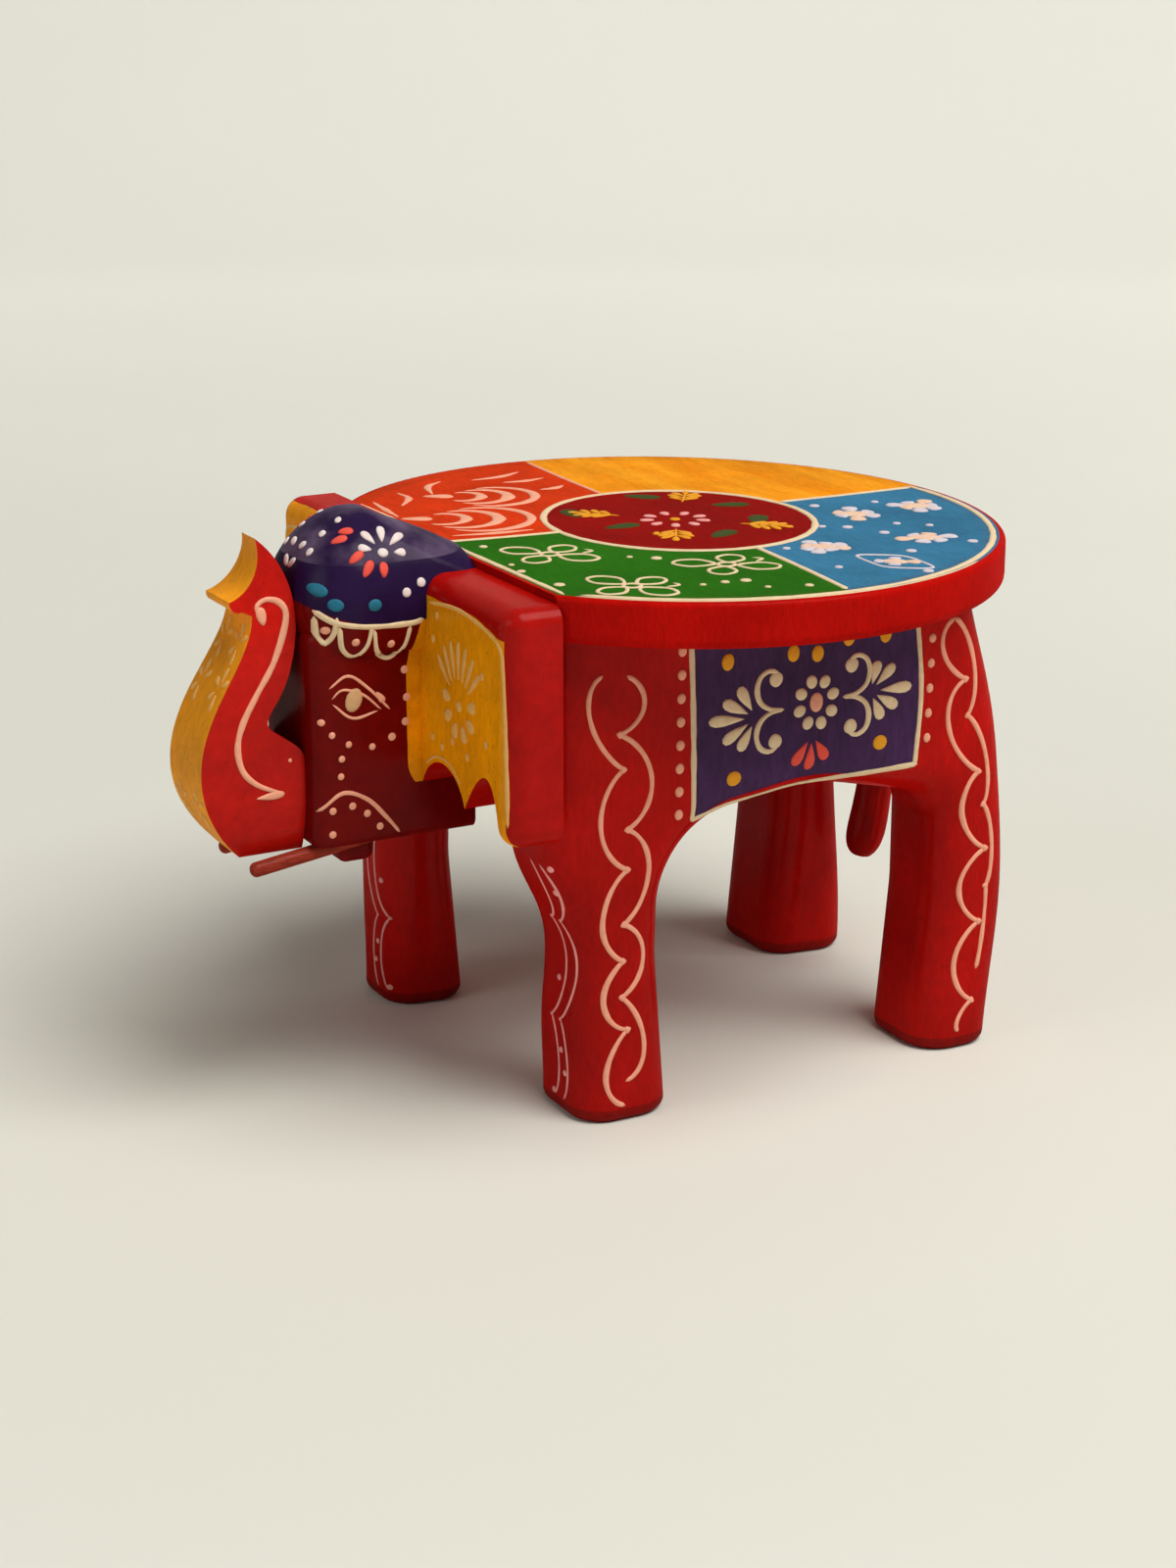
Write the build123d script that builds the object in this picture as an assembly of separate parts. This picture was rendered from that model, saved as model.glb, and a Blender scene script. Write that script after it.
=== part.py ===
from build123d import *
import os
from math import cos, radians, sin

# A small carved stool in the shape of an elephant. Millimetres, +Z up, the head towards -Y and the
# elephant's left side towards +X. Everything is drawn about the middle of the oval seat, with the floor
# at z = 0, and each piece is moved along Y at the end, so that the origin is under the middle of the whole.

# ------------------------------------------------------------------ driving dimensions
stool_height = 152.0

# Seat board: an oval cut straight across the front
seat_across = 203.6
seat_along = 188.0
seat_shift = 1.4
seat_front = 69.0
seat_thickness = 12.6
seat_top_round = 1.5
seat_under_round = 2.5

# Body block. The left and right flanks are sawn by eye, so the four legs differ a little.
flank_left_front = 64.5
flank_left_rear = 64.5
flank_right_front = 70.0
flank_right_rear = 59.0
crotch_left_front = 32.0
crotch_left_rear = 32.0
crotch_right_front = 42.5
crotch_right_rear = 21.0
rump_top = 66.5
rump_middle = 73.5
rump_hip = 78.8
rump_lean, hip_lean = 0.2, 0.12
belly_height = 87.5
belly_place = 15.0
hip_height = 89.0
brisket_height = 82.0
brisket_length = 24.0
brisket_lip = 2.0
channel_rise = 10.5
leg_waist_height = 46.0
front_shoulder_height = 81.0
rear_shoulder_height = 78.0
front_waist_draw = 3.0
rear_waist_draw = 4.0
front_shoulder_lean = 1.0
foot_flare = 2.0
foot_lean = 0.05
leg_outer_round = 10.0
leg_inner_round = 10.0
leg_arch_round = 11.0
arch_crown_radius = 60.0
arch_front_radius = 26.0
arch_rear_radius = 10.0
foot_round = 3.0

# Where each leg stands, seen from the side: toe and heel at the floor, and the shin and calf above them
left_front_toe, left_front_heel = -59.5, -30.4
left_rear_toe, left_rear_heel = 52.0, 78.0
right_front_toe, right_front_heel = -68.8, -43.0
right_rear_toe, right_rear_heel = 55.0, 84.0
left_shin, right_shin = -59.8, -68.9
left_calf, right_calf = 82.0, 82.0
shin_below_brisket = 28.0

# Head and neck block, and the domed cap that swells out over it
head_length = 48.0
head_half_width = 18.0
head_bottom = 75.5
head_block_top = 137.0
head_corner_round = 5.0
head_under_round = 3.0
head_top_round = 4.0
cap_half_width = 22.5
cap_widest = 142.0
cap_top = 166.0
cap_middle = 22.0
cap_front_reach = 22.5
cap_rear_reach = 48.0
cap_rear_fall = 1.2
cap_side_round_share = 0.62
cap_top_round_share = 0.9
cap_lowest_angle = -32.0
cap_highest_angle = 82.0
cap_levels = 8

# Lower jaw
jaw_half_width = 13.0
jaw_setback = 9.0
jaw_length = 11.0
jaw_drop = 6.5
jaw_round = 3.0

# Trunk: a flat board sawn to a curled outline. The outline's points are shares of the trunk's reach and,
# for the front, of its whole rise, or for the back, of its rise above the joint.
trunk_belly_width = 23.5
trunk_lip_width = 17.0
trunk_tip_width = 9.0
trunk_foot_width = 16.0
trunk_reach = 29.5
trunk_height = 161.0
trunk_base = 74.3
trunk_joint = 27.0
trunk_lip_drop = 16.0
trunk_tip_share = 0.325
trunk_curl_shares = ((0.319, 0.947), (0.42, 0.8685), (0.637, 0.819))
trunk_lip_shares = ((0.637, 0.819), (0.617, 0.7935), (0.529, 0.7866))
trunk_front_shares = ((0.434, 0.7705), (0.529, 0.669), (0.807, 0.5075), (1.0, 0.3345), (0.956, 0.167),
                      (0.766, 0.053), (0.627, 0.0))
trunk_back_shares = ((0.156, 0.084), (0.346, 0.171), (0.244, 0.268), (0.081, 0.444), (0.02, 0.62),
                     (0.054, 0.787))

# Ears: thick boards with a scalloped lower edge. The right one reaches further out.
ear_thickness = 16.0
ear_left_reach = 70.7
ear_right_reach = 80.0
ear_inner = 12.0
ear_left_top = 150.0
ear_right_top = 153.5
ear_bottom = 85.5
ear_inner_drip = 5.7
ear_middle_drip = 5.2
ear_inner_notch = 14.3
ear_outer_notch = 17.1
ear_inner_notch_share, ear_middle_drip_share, ear_outer_notch_share = 0.24, 0.5, 0.76
ear_front_top_round = 6.0
ear_top_corner = 5.0
ear_bottom_flat = 5.5
ear_bottom_round = 4.95

# Tusks
tusk_diameter = 4.2
tusk_length = 36.0
tusk_depth = 10.0
tusk_spread = 11.5
tusk_drop = 0.8
tusk_droop = 8.0
tusk_tip_share = 0.42

# Tail: a flat stick that lies on the rump, then hangs free and swings a little to one side
tail_width = 15.0
tail_thickness = 9.0
tail_root_width = 9.0
tail_tip_share = 0.55
tail_end = 36.0
tail_swing = 11.0
tail_hook = 4.5
tail_rump_shares = (0.45, 0.65, 0.82, 1.0)
tail_hanging_shares = (0.35, 0.65, 0.9, 1.0)
tail_gap = 0.2
tail_peg_diameter = 6.0
tail_peg_depth = 14.0
tail_peg_height = 110.0

# Hidden dowels
dowel_diameter = 6.0
dowel_depth = 9.0
seat_dowel_diameter = 8.0
seat_dowel_depth = 7.0
seat_dowel_sink = 13.0
seat_dowel_spread = 40.0
seat_dowel_front = -45.0
seat_dowel_rear = 40.0
head_dowel_shares = (0.4, 0.75)
trunk_dowel_shares = (0.28, 0.74)
ear_dowel_shares = (0.42, 0.64)
ear_dowel_drops = (12.0, 26.0)
dowel_end_room = 0.5
dowel_chamfer = 0.6
glue_gap = 0.1

# ------------------------------------------------------------------ derived places
chest = -seat_front
body_top = stool_height - seat_thickness
head_front = chest - head_length
seat_rear = seat_along / 2 + seat_shift
brisket_under = brisket_height - brisket_lip
shin_height = brisket_height - shin_below_brisket
channel_height = belly_height + channel_rise
front_legs_middle = (left_front_toe + left_front_heel + right_front_toe + right_front_heel) / 4
rear_legs_middle = (left_rear_toe + left_rear_heel + right_rear_toe + right_rear_heel) / 4
beyond = 20.0  # how far a cutting shape runs past what it cuts
hair = 0.01    # nearer than this is touching


def side_face(*edges):
    """A face drawn in the plane of the side view: each edge's x is the stool's Y, and its y is Z."""
    return Plane.YZ * make_face(Curve() + list(edges))


def across(face, low, high):
    """A side-view face made solid between two X positions."""
    return Pos(low, 0, 0) * extrude(face, high - low)


def peg(diameter, start, direction, length, chamfered=0.0):
    """A round peg or drill from start along direction."""
    axis = Plane(origin=start, z_dir=direction)
    rod = extrude(axis * Circle(diameter / 2), length)
    if chamfered:
        rod = chamfer(rod.edges().filter_by(GeomType.CIRCLE), chamfered)
    return rod


def hole(diameter, start, direction, depth):
    """The drilled hole for a peg: a glue gap wider, a little deeper, and open at its mouth."""
    back = Vector(start) - Vector(direction).normalized()
    return peg(diameter + 2 * glue_gap, back, direction, depth + dowel_end_room + 1)


# ------------------------------------------------------------------ body block
def rump():
    """The curved back edge of the body in side view, from under the seat down to the hip."""
    return Spline((rump_top, body_top), (rump_middle, (body_top + hip_height) / 2), (rump_hip, hip_height),
                  tangents=[(rump_lean, -1), (hip_lean, -1)])


def flank_outline(front_toe, shin, calf, rear_heel):
    """The sawn outside of the body in side view: back, rump, heel, foot, toe and chest."""
    return side_face(
        Line((chest, body_top), (rump_top, body_top)),
        rump(),
        Spline((rump_hip, hip_height), (calf, leg_waist_height), (rear_heel, 0),
               tangents=[(hip_lean, -1), (-foot_lean, -1)]),
        Line((rear_heel, 0), (front_toe, 0)),
        Spline((front_toe, 0), (shin, shin_height / 2), (shin, shin_height), (chest, brisket_under),
               tangents=[(foot_lean, 1), (0, 1)]),
        Line((chest, brisket_under), (chest, body_top)),
    )


def arch_outline(front_heel, rear_toe):
    """The opening between a front and a rear leg: two drawn-in waists and a long low crown."""
    front_waist = front_heel - front_waist_draw
    rear_waist = rear_toe + rear_waist_draw
    front_foot, rear_foot = (front_heel + foot_flare, -beyond), (rear_toe - foot_flare, -beyond)
    outline = FilletPolyline(
        front_foot,
        (front_waist, leg_waist_height),
        (front_waist + front_shoulder_lean, front_shoulder_height),
        (belly_place, belly_height),
        (rear_waist, rear_shoulder_height),
        (rear_waist, leg_waist_height),
        rear_foot,
        radius=[arch_crown_radius, arch_front_radius, arch_crown_radius, arch_rear_radius,
                arch_crown_radius],
    )
    return side_face(outline, Line(front_foot, rear_foot))


def flank(side, front_toe, shin, front_heel, rear_toe, calf, rear_heel, at_front, at_rear):
    """Half of the body, from the middle plane out to a flank that narrows towards the rump."""
    reach = side * (max(at_front, at_rear) + beyond)
    low, high = sorted((0.0, reach))
    sawn = across(flank_outline(front_toe, shin, calf, rear_heel), low, high)
    sawn -= across(arch_outline(front_heel, rear_toe), low, high)
    rear_end = rear_heel + beyond
    slope = (at_rear - at_front) / (rear_heel - chest)
    plan = Polygon(
        (0, chest - beyond), (side * (at_front - slope * beyond), chest - beyond),
        (side * (at_rear + slope * beyond), rear_end), (0, rear_end), align=None,
    )
    return (sawn & extrude(plan, body_top, dir=(0, 0, 1))) - belly_channel()


def belly_channel():
    """The space sawn lengthwise between the left and right legs, highest over the belly arch."""
    front, rear = chest - beyond, seat_rear + beyond
    share = beyond / (rump_hip - chest)
    left_step = share * (crotch_left_rear - crotch_left_front)
    right_step = share * (crotch_right_rear - crotch_right_front)
    plan = Polygon(
        (crotch_left_front - left_step, front), (crotch_left_rear + left_step, rear),
        (-crotch_right_rear - right_step, rear), (-crotch_right_front + right_step, front), align=None,
    )
    front_slope = (channel_height - brisket_height) / brisket_length
    rear_slope = (channel_height - hip_height) / (rump_hip - belly_place)
    ceiling = side_face(Polyline(
        (front, -beyond), (front, brisket_height - front_slope * beyond),
        (chest + brisket_length, channel_height), (belly_place, channel_height),
        (rear, hip_height - rear_slope * (rear - rump_hip)), (rear, -beyond), close=True,
    ))
    deep = extrude(Pos(0, 0, -beyond) * plan, stool_height, dir=(0, 0, 1))
    return deep & across(ceiling, -seat_across, seat_across)


def middle_of(edge):
    return edge.position_at(0.5)


def sawn_body():
    """The body as it comes off the saw, with sharp corners everywhere."""
    left = flank(1, left_front_toe, left_shin, left_front_heel, left_rear_toe, left_calf,
                 left_rear_heel, flank_left_front, flank_left_rear)
    right = flank(-1, right_front_toe, right_shin, right_front_heel, right_rear_toe, right_calf,
                  right_rear_heel, flank_right_front, flank_right_rear)
    return left + right


def rounded_body():
    """The sawn block with every leg corner, arch edge and foot rounded over by hand."""
    body = sawn_body()
    narrowest_flank = min(flank_left_rear, flank_right_rear)
    widest_crotch = max(crotch_left_front, crotch_right_front)
    between = (narrowest_flank + widest_crotch) / 2

    def upright(edge, inner, side):
        """True for an edge that runs in a flank or crotch plane rather than across it."""
        start, end, middle = edge.position_at(0), edge.position_at(1), middle_of(edge)
        along_plane = abs(start.X - end.X) < edge.length / 4
        between_ends = foot_round < middle.Z < body_top - foot_round
        return along_plane and between_ends and side * middle.X > 0 and (abs(middle.X) < between) == inner

    def in_arch(edge):
        """True for an edge of the opening between a front and a rear leg."""
        middle = middle_of(edge)
        return front_legs_middle < middle.Y < rear_legs_middle and middle.Z < belly_height

    for side in (1, -1):
        for inner, size in ((True, leg_inner_round), (False, leg_arch_round)):
            arch = [e for e in body.edges() if upright(e, inner, side) and in_arch(e)]
            body = fillet(arch, size)
    for side in (1, -1):
        for rear in (False, True):
            corner = [e for e in body.edges() if upright(e, False, side) and not in_arch(e)
                      and (middle_of(e).Y > rump_top / 2) == rear and e.length > 2 * leg_outer_round]
            body = fillet(corner, leg_outer_round)

    def at_end(edge, rear):
        """True for an edge of the channel's mouth in the chest or in the rump."""
        start, end, middle = edge.position_at(0), edge.position_at(1), middle_of(edge)
        beside_channel = abs(middle.X) < between and foot_round < middle.Z < channel_height
        in_end_face = abs(start.Y - end.Y) < edge.length / 2
        near = middle.Y > rump_top if rear else middle.Y < chest + brisket_length / 2
        return beside_channel and in_end_face and near

    for rear in (False, True):
        body = fillet([e for e in body.edges() if at_end(e, rear)], leg_inner_round)
    return fillet([e for e in body.edges() if middle_of(e).Z < hair], foot_round)


# ------------------------------------------------------------------ head
def cap_section(angle, grow):
    """One level of the cap: a rounded rectangle that shrinks as the angle above its widest level grows."""
    up, around = sin(radians(angle)), cos(radians(angle))
    above = max(up, 0)
    middle = head_front + cap_middle
    front = middle - cap_front_reach * around - grow
    rear = middle + cap_rear_reach * (1 - above ** cap_rear_fall) + grow
    width = 2 * (cap_half_width * around + grow)
    round_share = cap_side_round_share + (cap_top_round_share - cap_side_round_share) * above
    corner = round_share * min(width, rear - front) / 2
    height = cap_widest + (cap_top - cap_widest) * up
    return Pos(0, (front + rear) / 2, height) * RectangleRounded(width, rear - front, corner)


def head_form(grow=0.0):
    """The outside of the head and neck, cut straight where it meets the chest."""
    block = Pos(0, head_front - grow, head_bottom - grow) * Box(
        2 * (head_half_width + grow), head_length + beyond, head_block_top - head_bottom,
        align=(Align.CENTER, Align.MIN, Align.MIN),
    )
    block = fillet(block.edges().filter_by(Axis.Z).sort_by(Axis.Y)[:2], head_corner_round)
    block = fillet(block.faces().sort_by(Axis.Z)[-1].edges(), head_top_round)
    block = fillet(block.faces().sort_by(Axis.Z)[0].edges(), head_under_round)
    step = (cap_highest_angle - cap_lowest_angle) / (cap_levels - 1)
    cap = loft([cap_section(cap_lowest_angle + step * level, grow) for level in range(cap_levels)])
    behind = Pos(0, chest, 0) * Box(seat_across, seat_along, 2 * (cap_top + beyond),
                                    align=(Align.CENTER, Align.MIN, Align.CENTER))
    return (block + cap) - behind


def jaw():
    """The lower lip that holds the tusks, under the front of the head."""
    height = jaw_drop + head_under_round
    lip = Box(2 * jaw_half_width, jaw_length, height, align=(Align.CENTER, Align.MIN, Align.MIN))
    lip = fillet(lip.edges().filter_by(Axis.Z) + lip.faces().sort_by(Axis.Z)[0].edges(), jaw_round)
    return Pos(0, head_front + jaw_setback, head_bottom - jaw_drop) * lip


def tusk_line(side):
    """The mouth of a tusk's hole and the direction in which the tusk points."""
    mouth = Vector(side * tusk_spread, head_front + jaw_setback, head_bottom - tusk_drop)
    return mouth, Vector(0, -cos(radians(tusk_droop)), -sin(radians(tusk_droop)))


def make_tusk(side):
    mouth, forward = tusk_line(side)
    root = mouth - forward * tusk_depth
    rod = peg(tusk_diameter, root, forward, tusk_length)
    rod = fillet(rod.edges().filter_by(GeomType.CIRCLE).sort_by(Axis.Y)[0], tusk_diameter * tusk_tip_share)
    return chamfer(rod.edges().filter_by(GeomType.CIRCLE).sort_by(Axis.Y)[-1], dowel_chamfer)


head_dowel_places = [(0, chest, head_bottom + (body_top - head_bottom) * share)
                     for share in head_dowel_shares]
trunk_dowel_places = [(0, head_front, trunk_base + trunk_joint * share) for share in trunk_dowel_shares]
ear_dowel_places = [(side * ear_left_reach * share, chest, body_top - drop) for side in (1, -1)
                    for share, drop in zip(ear_dowel_shares, ear_dowel_drops)]
seat_dowel_places = [(side * seat_dowel_spread, along, body_top) for side in (1, -1)
                     for along in (seat_dowel_front, seat_dowel_rear)]
forward, backward, upward, downward = (0, -1, 0), (0, 1, 0), (0, 0, 1), (0, 0, -1)


def drill(piece, places, direction, diameter, depth):
    for place in places:
        piece -= hole(diameter, place, direction, depth)
    return piece


def dowels(places, direction, diameter, into, out_of):
    """Dowels that cross a glued joint: one depth ahead of it along direction and one behind it."""
    pins = Part()
    for place in places:
        start = Vector(place) - Vector(direction) * out_of
        pins += peg(diameter, start, direction, into + out_of, dowel_chamfer)
    return pins


def make_head():
    head = head_form() + jaw()
    for side in (1, -1):
        mouth, forward_and_down = tusk_line(side)
        root = mouth - forward_and_down * (tusk_depth + dowel_end_room)
        head -= peg(tusk_diameter + 2 * glue_gap, root, forward_and_down, tusk_length)
    head = drill(head, head_dowel_places, forward, dowel_diameter, dowel_depth)
    return drill(head, trunk_dowel_places, backward, dowel_diameter, dowel_depth)


# ------------------------------------------------------------------ trunk
def make_trunk():
    """The raised trunk: foot against the head, a full curve to the front, and a curled lip at the top."""
    belly = trunk_base + trunk_joint

    def placed(shares, low):
        return [(head_front - trunk_reach * ahead, low + (trunk_height - low) * up) for ahead, up in shares]

    tip, = placed([(trunk_tip_share, 1.0)], trunk_base)
    curl, lip = placed(trunk_curl_shares, trunk_base), placed(trunk_lip_shares, trunk_base)
    front, back = placed(trunk_front_shares, trunk_base), placed(trunk_back_shares, belly)
    joint_foot, joint_top = (head_front - glue_gap, trunk_base), (head_front - glue_gap, belly)
    outline = side_face(
        Spline(tip, *curl),
        ThreePointArc(*lip),
        Line(lip[-1], front[0]),
        Spline(*front, tangents=[(-0.1, -1), (0.9, -1)]),
        Line(front[-1], joint_foot),
        Line(joint_foot, joint_top),
        Spline(joint_top, *back, tip),
    )
    half_front = [(trunk_foot_width / 2, trunk_base), (trunk_belly_width / 2, (trunk_base + belly) / 2),
                  (trunk_belly_width / 2, belly), (trunk_lip_width / 2, trunk_height - trunk_lip_drop),
                  (trunk_tip_width / 2, trunk_height)]
    mirrored = [(-x, z) for x, z in reversed(half_front)]
    front = Plane.XZ * make_face(Curve() + [
        Spline(*half_front), Line(half_front[-1], mirrored[0]), Spline(*mirrored),
        Line(mirrored[-1], half_front[0]),
    ])
    trunk = across(outline, -trunk_belly_width, trunk_belly_width) & extrude(front, stool_height, both=True)
    return drill(trunk, trunk_dowel_places, forward, dowel_diameter, dowel_depth)


# ------------------------------------------------------------------ ears
def make_ear(side, reach, ear_top):
    """A thick board whose lower edge is sawn into three drips, fitted against the head's side."""
    width = reach - head_half_width

    def at(share, rise):
        return (head_half_width + width * share, ear_bottom + rise)

    inner_tip, middle_tip = at(0, ear_inner_drip), at(ear_middle_drip_share, ear_middle_drip)
    outer_tip = (reach - ear_bottom_flat, ear_bottom)
    edge = Curve() + [
        Polyline((ear_inner, inner_tip[1]), (ear_inner, ear_top), (reach, ear_top), (reach, ear_bottom),
                 outer_tip),
        Spline(outer_tip, at(ear_outer_notch_share, ear_outer_notch), middle_tip),
        ThreePointArc(middle_tip, at(ear_inner_notch_share, ear_inner_notch), inner_tip),
        Line(inner_tip, (ear_inner, inner_tip[1])),
    ]
    face = make_face(edge)
    face = fillet(face.vertices().group_by(Axis.X)[-1].sort_by(Axis.Y)[-1], ear_top_corner)
    face = fillet(face.vertices().group_by(Axis.X)[-1].sort_by(Axis.Y)[0], ear_bottom_round)
    board = extrude(Plane(origin=(0, chest, 0), x_dir=(1, 0, 0), z_dir=(0, -1, 0)) * face, ear_thickness)
    front_top = board.faces().sort_by(Axis.Y)[0].edges().sort_by(Axis.Z)[-1:]
    board = fillet(front_top, ear_front_top_round)
    if side < 0:
        board = mirror(board, Plane.YZ)
    board -= head_form(glue_gap)
    on_this_side = [place for place in ear_dowel_places if place[0] * side > 0]
    return drill(board, on_this_side, forward, dowel_diameter, dowel_depth)


# ------------------------------------------------------------------ tail
def make_tail():
    """A carved stick with a peg at its root; it follows the rump and swings to one side below it."""
    on_rump = [rump() @ share for share in tail_rump_shares]
    hip = on_rump[-1]
    hanging = [Vector(hip.X - tail_hook * share ** 1.5, hip.Y + (tail_end - hip.Y) * share)
               for share in tail_hanging_shares]
    line = on_rump + hanging
    drop = line[0].Y - tail_end
    sections = []
    for place in line:
        down = (line[0].Y - place.Y) / drop
        width = tail_root_width + (tail_width - tail_root_width) * sin(radians(90 * down ** 0.5))
        close = tail_tip_share if place is line[-1] else 1.0
        centre = Pos(-tail_swing * down, place.X + tail_gap + tail_thickness / 2, place.Y)
        sections.append(centre * Ellipse(width / 2 * close, tail_thickness / 2 * close))
    rump_at_peg = min((rump() @ (share / 100) for share in range(101)),
                      key=lambda point: abs(point.Y - tail_peg_height))
    root = (0, rump_at_peg.X + tail_gap + tail_thickness / 2, tail_peg_height)
    stick = peg(tail_peg_diameter, root, forward, tail_thickness / 2 + tail_gap + tail_peg_depth)
    return loft(sections) + stick


# ------------------------------------------------------------------ seat
def make_seat():
    oval = Ellipse(seat_across / 2, seat_along / 2)
    board = Pos(0, seat_shift, body_top) * extrude(oval, seat_thickness)
    board = fillet(board.edges().group_by(Axis.Z)[0], seat_under_round)
    board = fillet(board.edges().group_by(Axis.Z)[-1], seat_top_round)
    board -= Pos(0, chest - seat_along / 2, body_top) * Box(2 * seat_across, seat_along, stool_height)
    return drill(board, seat_dowel_places, upward, seat_dowel_diameter, seat_dowel_depth)


# ------------------------------------------------------------------ body with its holes
def make_body():
    body = rounded_body()
    body = drill(body, head_dowel_places + ear_dowel_places, backward, dowel_diameter, dowel_depth)
    body = drill(body, [(0, rump_hip, tail_peg_height)], forward, tail_peg_diameter,
                 rump_hip - rump_middle + tail_peg_depth)
    return drill(body, seat_dowel_places, downward, seat_dowel_diameter, seat_dowel_sink)


os.makedirs("parts", exist_ok=True)
pieces = {
    "seat_board": make_seat(),
    "body_block": make_body(),
    "head": make_head(),
    "trunk": make_trunk(),
    "ear_left": make_ear(1, ear_left_reach, ear_left_top),
    "ear_right": make_ear(-1, ear_right_reach, ear_right_top),
    "tusk_left": make_tusk(1),
    "tusk_right": make_tusk(-1),
    "tail": make_tail(),
    "seat_dowels": dowels(seat_dowel_places, upward, seat_dowel_diameter, seat_dowel_depth, seat_dowel_sink),
    "head_dowels": dowels(head_dowel_places, forward, dowel_diameter, dowel_depth, dowel_depth),
    "trunk_dowels": dowels(trunk_dowel_places, forward, dowel_diameter, dowel_depth, dowel_depth),
    "ear_dowels": dowels(ear_dowel_places, forward, dowel_diameter, dowel_depth, dowel_depth),
}
trunk_front = pieces["trunk"].bounding_box().min.Y
to_middle = Pos(0, -(trunk_front + seat_rear) / 2, 0)
for name, piece in pieces.items():
    export_step(to_middle * piece, f"parts/{name}.step")
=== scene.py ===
from math import atan2, cos, hypot, pi, radians, sin, sqrt

import bmesh
import bpy
from bpy.props import FloatProperty, FloatVectorProperty, PointerProperty
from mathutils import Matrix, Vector, noise
from mathutils.bvhtree import BVHTree


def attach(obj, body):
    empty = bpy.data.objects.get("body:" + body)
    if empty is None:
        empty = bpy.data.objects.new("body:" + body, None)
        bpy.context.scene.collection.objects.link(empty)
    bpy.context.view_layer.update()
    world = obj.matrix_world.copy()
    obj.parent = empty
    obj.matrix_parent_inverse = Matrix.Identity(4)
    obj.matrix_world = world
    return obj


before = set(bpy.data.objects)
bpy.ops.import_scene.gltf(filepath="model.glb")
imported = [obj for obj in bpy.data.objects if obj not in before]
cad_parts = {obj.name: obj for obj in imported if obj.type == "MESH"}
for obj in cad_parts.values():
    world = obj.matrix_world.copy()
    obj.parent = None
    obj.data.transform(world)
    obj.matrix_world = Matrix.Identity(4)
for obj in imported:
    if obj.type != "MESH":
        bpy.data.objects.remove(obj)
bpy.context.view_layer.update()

bl_info = {
    "name": "Painted Elephant Stool",
    "version": (1, 0, 0),
    "blender": (4, 5, 0),
    "location": "3D View > Sidebar > Stool",
    "description": "Paints and varnishes a carved elephant stool and stands it in a small studio",
    "category": "Object",
}

MM = 0.001


def tint(code):
    """A paint colour from its hexadecimal red, green and blue, as the linear light a shader wants."""
    channels = [int(code[start:start + 2], 16) / 255 for start in (0, 2, 4)]
    return tuple(c / 12.92 if c <= 0.04045 else ((c + 0.055) / 1.055) ** 2.4 for c in channels)


# ------------------------------------------------------------------ settings
def paint_pot(name, description, code):
    return FloatVectorProperty(name=name, description=description, subtype="COLOR", size=3,
                               min=0.0, max=1.0, default=tint(code))


def position(name, description, default):
    return FloatVectorProperty(name=name, description=description, subtype="TRANSLATION", unit="LENGTH",
                               size=3, default=default)


def quantity(name, description, default, least=0.0, **more):
    return FloatProperty(name=name, description=description, default=default, min=least, **more)


def fraction(name, description, default):
    return quantity(name, description, default, max=1.0, subtype="FACTOR")


class STOOL_PG_paints(bpy.types.PropertyGroup):
    """The paints of the stool."""
    body_red: paint_pot("Body red", "Flanks, legs, ears' edges and the seat's rim", "BA0E08")
    trunk_red: paint_pot("Trunk red", "Brighter red on the sides of the trunk", "C8160C")
    head_red: paint_pot("Head red", "Darker red on the head and neck", "740603")
    cap_violet: paint_pot("Cap violet", "Painted cap on the head", "26123A")
    cloth_violet: paint_pot("Cloth violet", "Painted saddle cloth on each flank", "4A2C56")
    ochre: paint_pot("Ochre", "Fronts of the ears and of the trunk", "FAA006")
    seat_green: paint_pot("Seat green", "Front left quarter of the seat", "26680A")
    seat_blue: paint_pot("Seat blue", "Rear left quarter of the seat", "38769A")
    seat_yellow: paint_pot("Seat yellow", "Rear right quarter of the seat", "EC8602")
    seat_orange: paint_pot("Seat orange", "Front right quarter of the seat", "D23608")
    medallion_red: paint_pot("Medallion red", "Oval in the middle of the seat", "8E0401")
    cream: paint_pot("Cream", "Lines and dots on the seat and the cloth", "EED7B0")
    peach: paint_pot("Peach", "Wavy lines and dots on the red paint", "F6B092")
    rose: paint_pot("Rose", "Wavy lines on the legs", "F8AE92")
    pink: paint_pot("Pink", "Small dots and petals", "F4A8A4")
    white: paint_pot("White", "Petals on the cap", "F0E4E2")
    coral: paint_pot("Coral", "Petals on the cap and the cloth", "EE5A4C")
    marigold: paint_pot("Marigold", "Yellow dots and sprigs", "EDA52C")
    pale_ochre: paint_pot("Pale ochre", "Flowers on the ears and the trunk", "EDB868")
    sand: paint_pot("Sand", "Pupils of the eyes", "D6AE80")
    leaf_green: paint_pot("Leaf green", "Leaves in the medallion", "3C4A1C")
    teal: paint_pot("Teal", "Dots on the cap", "2C7490")
    lilac: paint_pot("Lilac", "Flowers on the blue quarter", "DCD4DE")
    blush: paint_pot("Blush", "Hearts of the flowers on the blue quarter", "F0CDB4")
    stain_red: paint_pot("Red stain", "Thin stain on the tusks", "A83A28")
    bare_wood: paint_pot("Bare wood", "Unpainted dowels", "C79D6B")


class STOOL_PG_brush(bpy.types.PropertyGroup):
    """How thickly the ornament is laid on."""
    height: quantity("Paint height", "How far a stroke stands above the wood", 0.38 * MM, unit="LENGTH")
    sink: quantity("Paint sink", "How far the rim of a stroke lies in the wood", 0.15 * MM, unit="LENGTH")
    wobble: fraction("Wobble", "Share by which a hand-drawn line swells and thins", 0.22)


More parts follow.
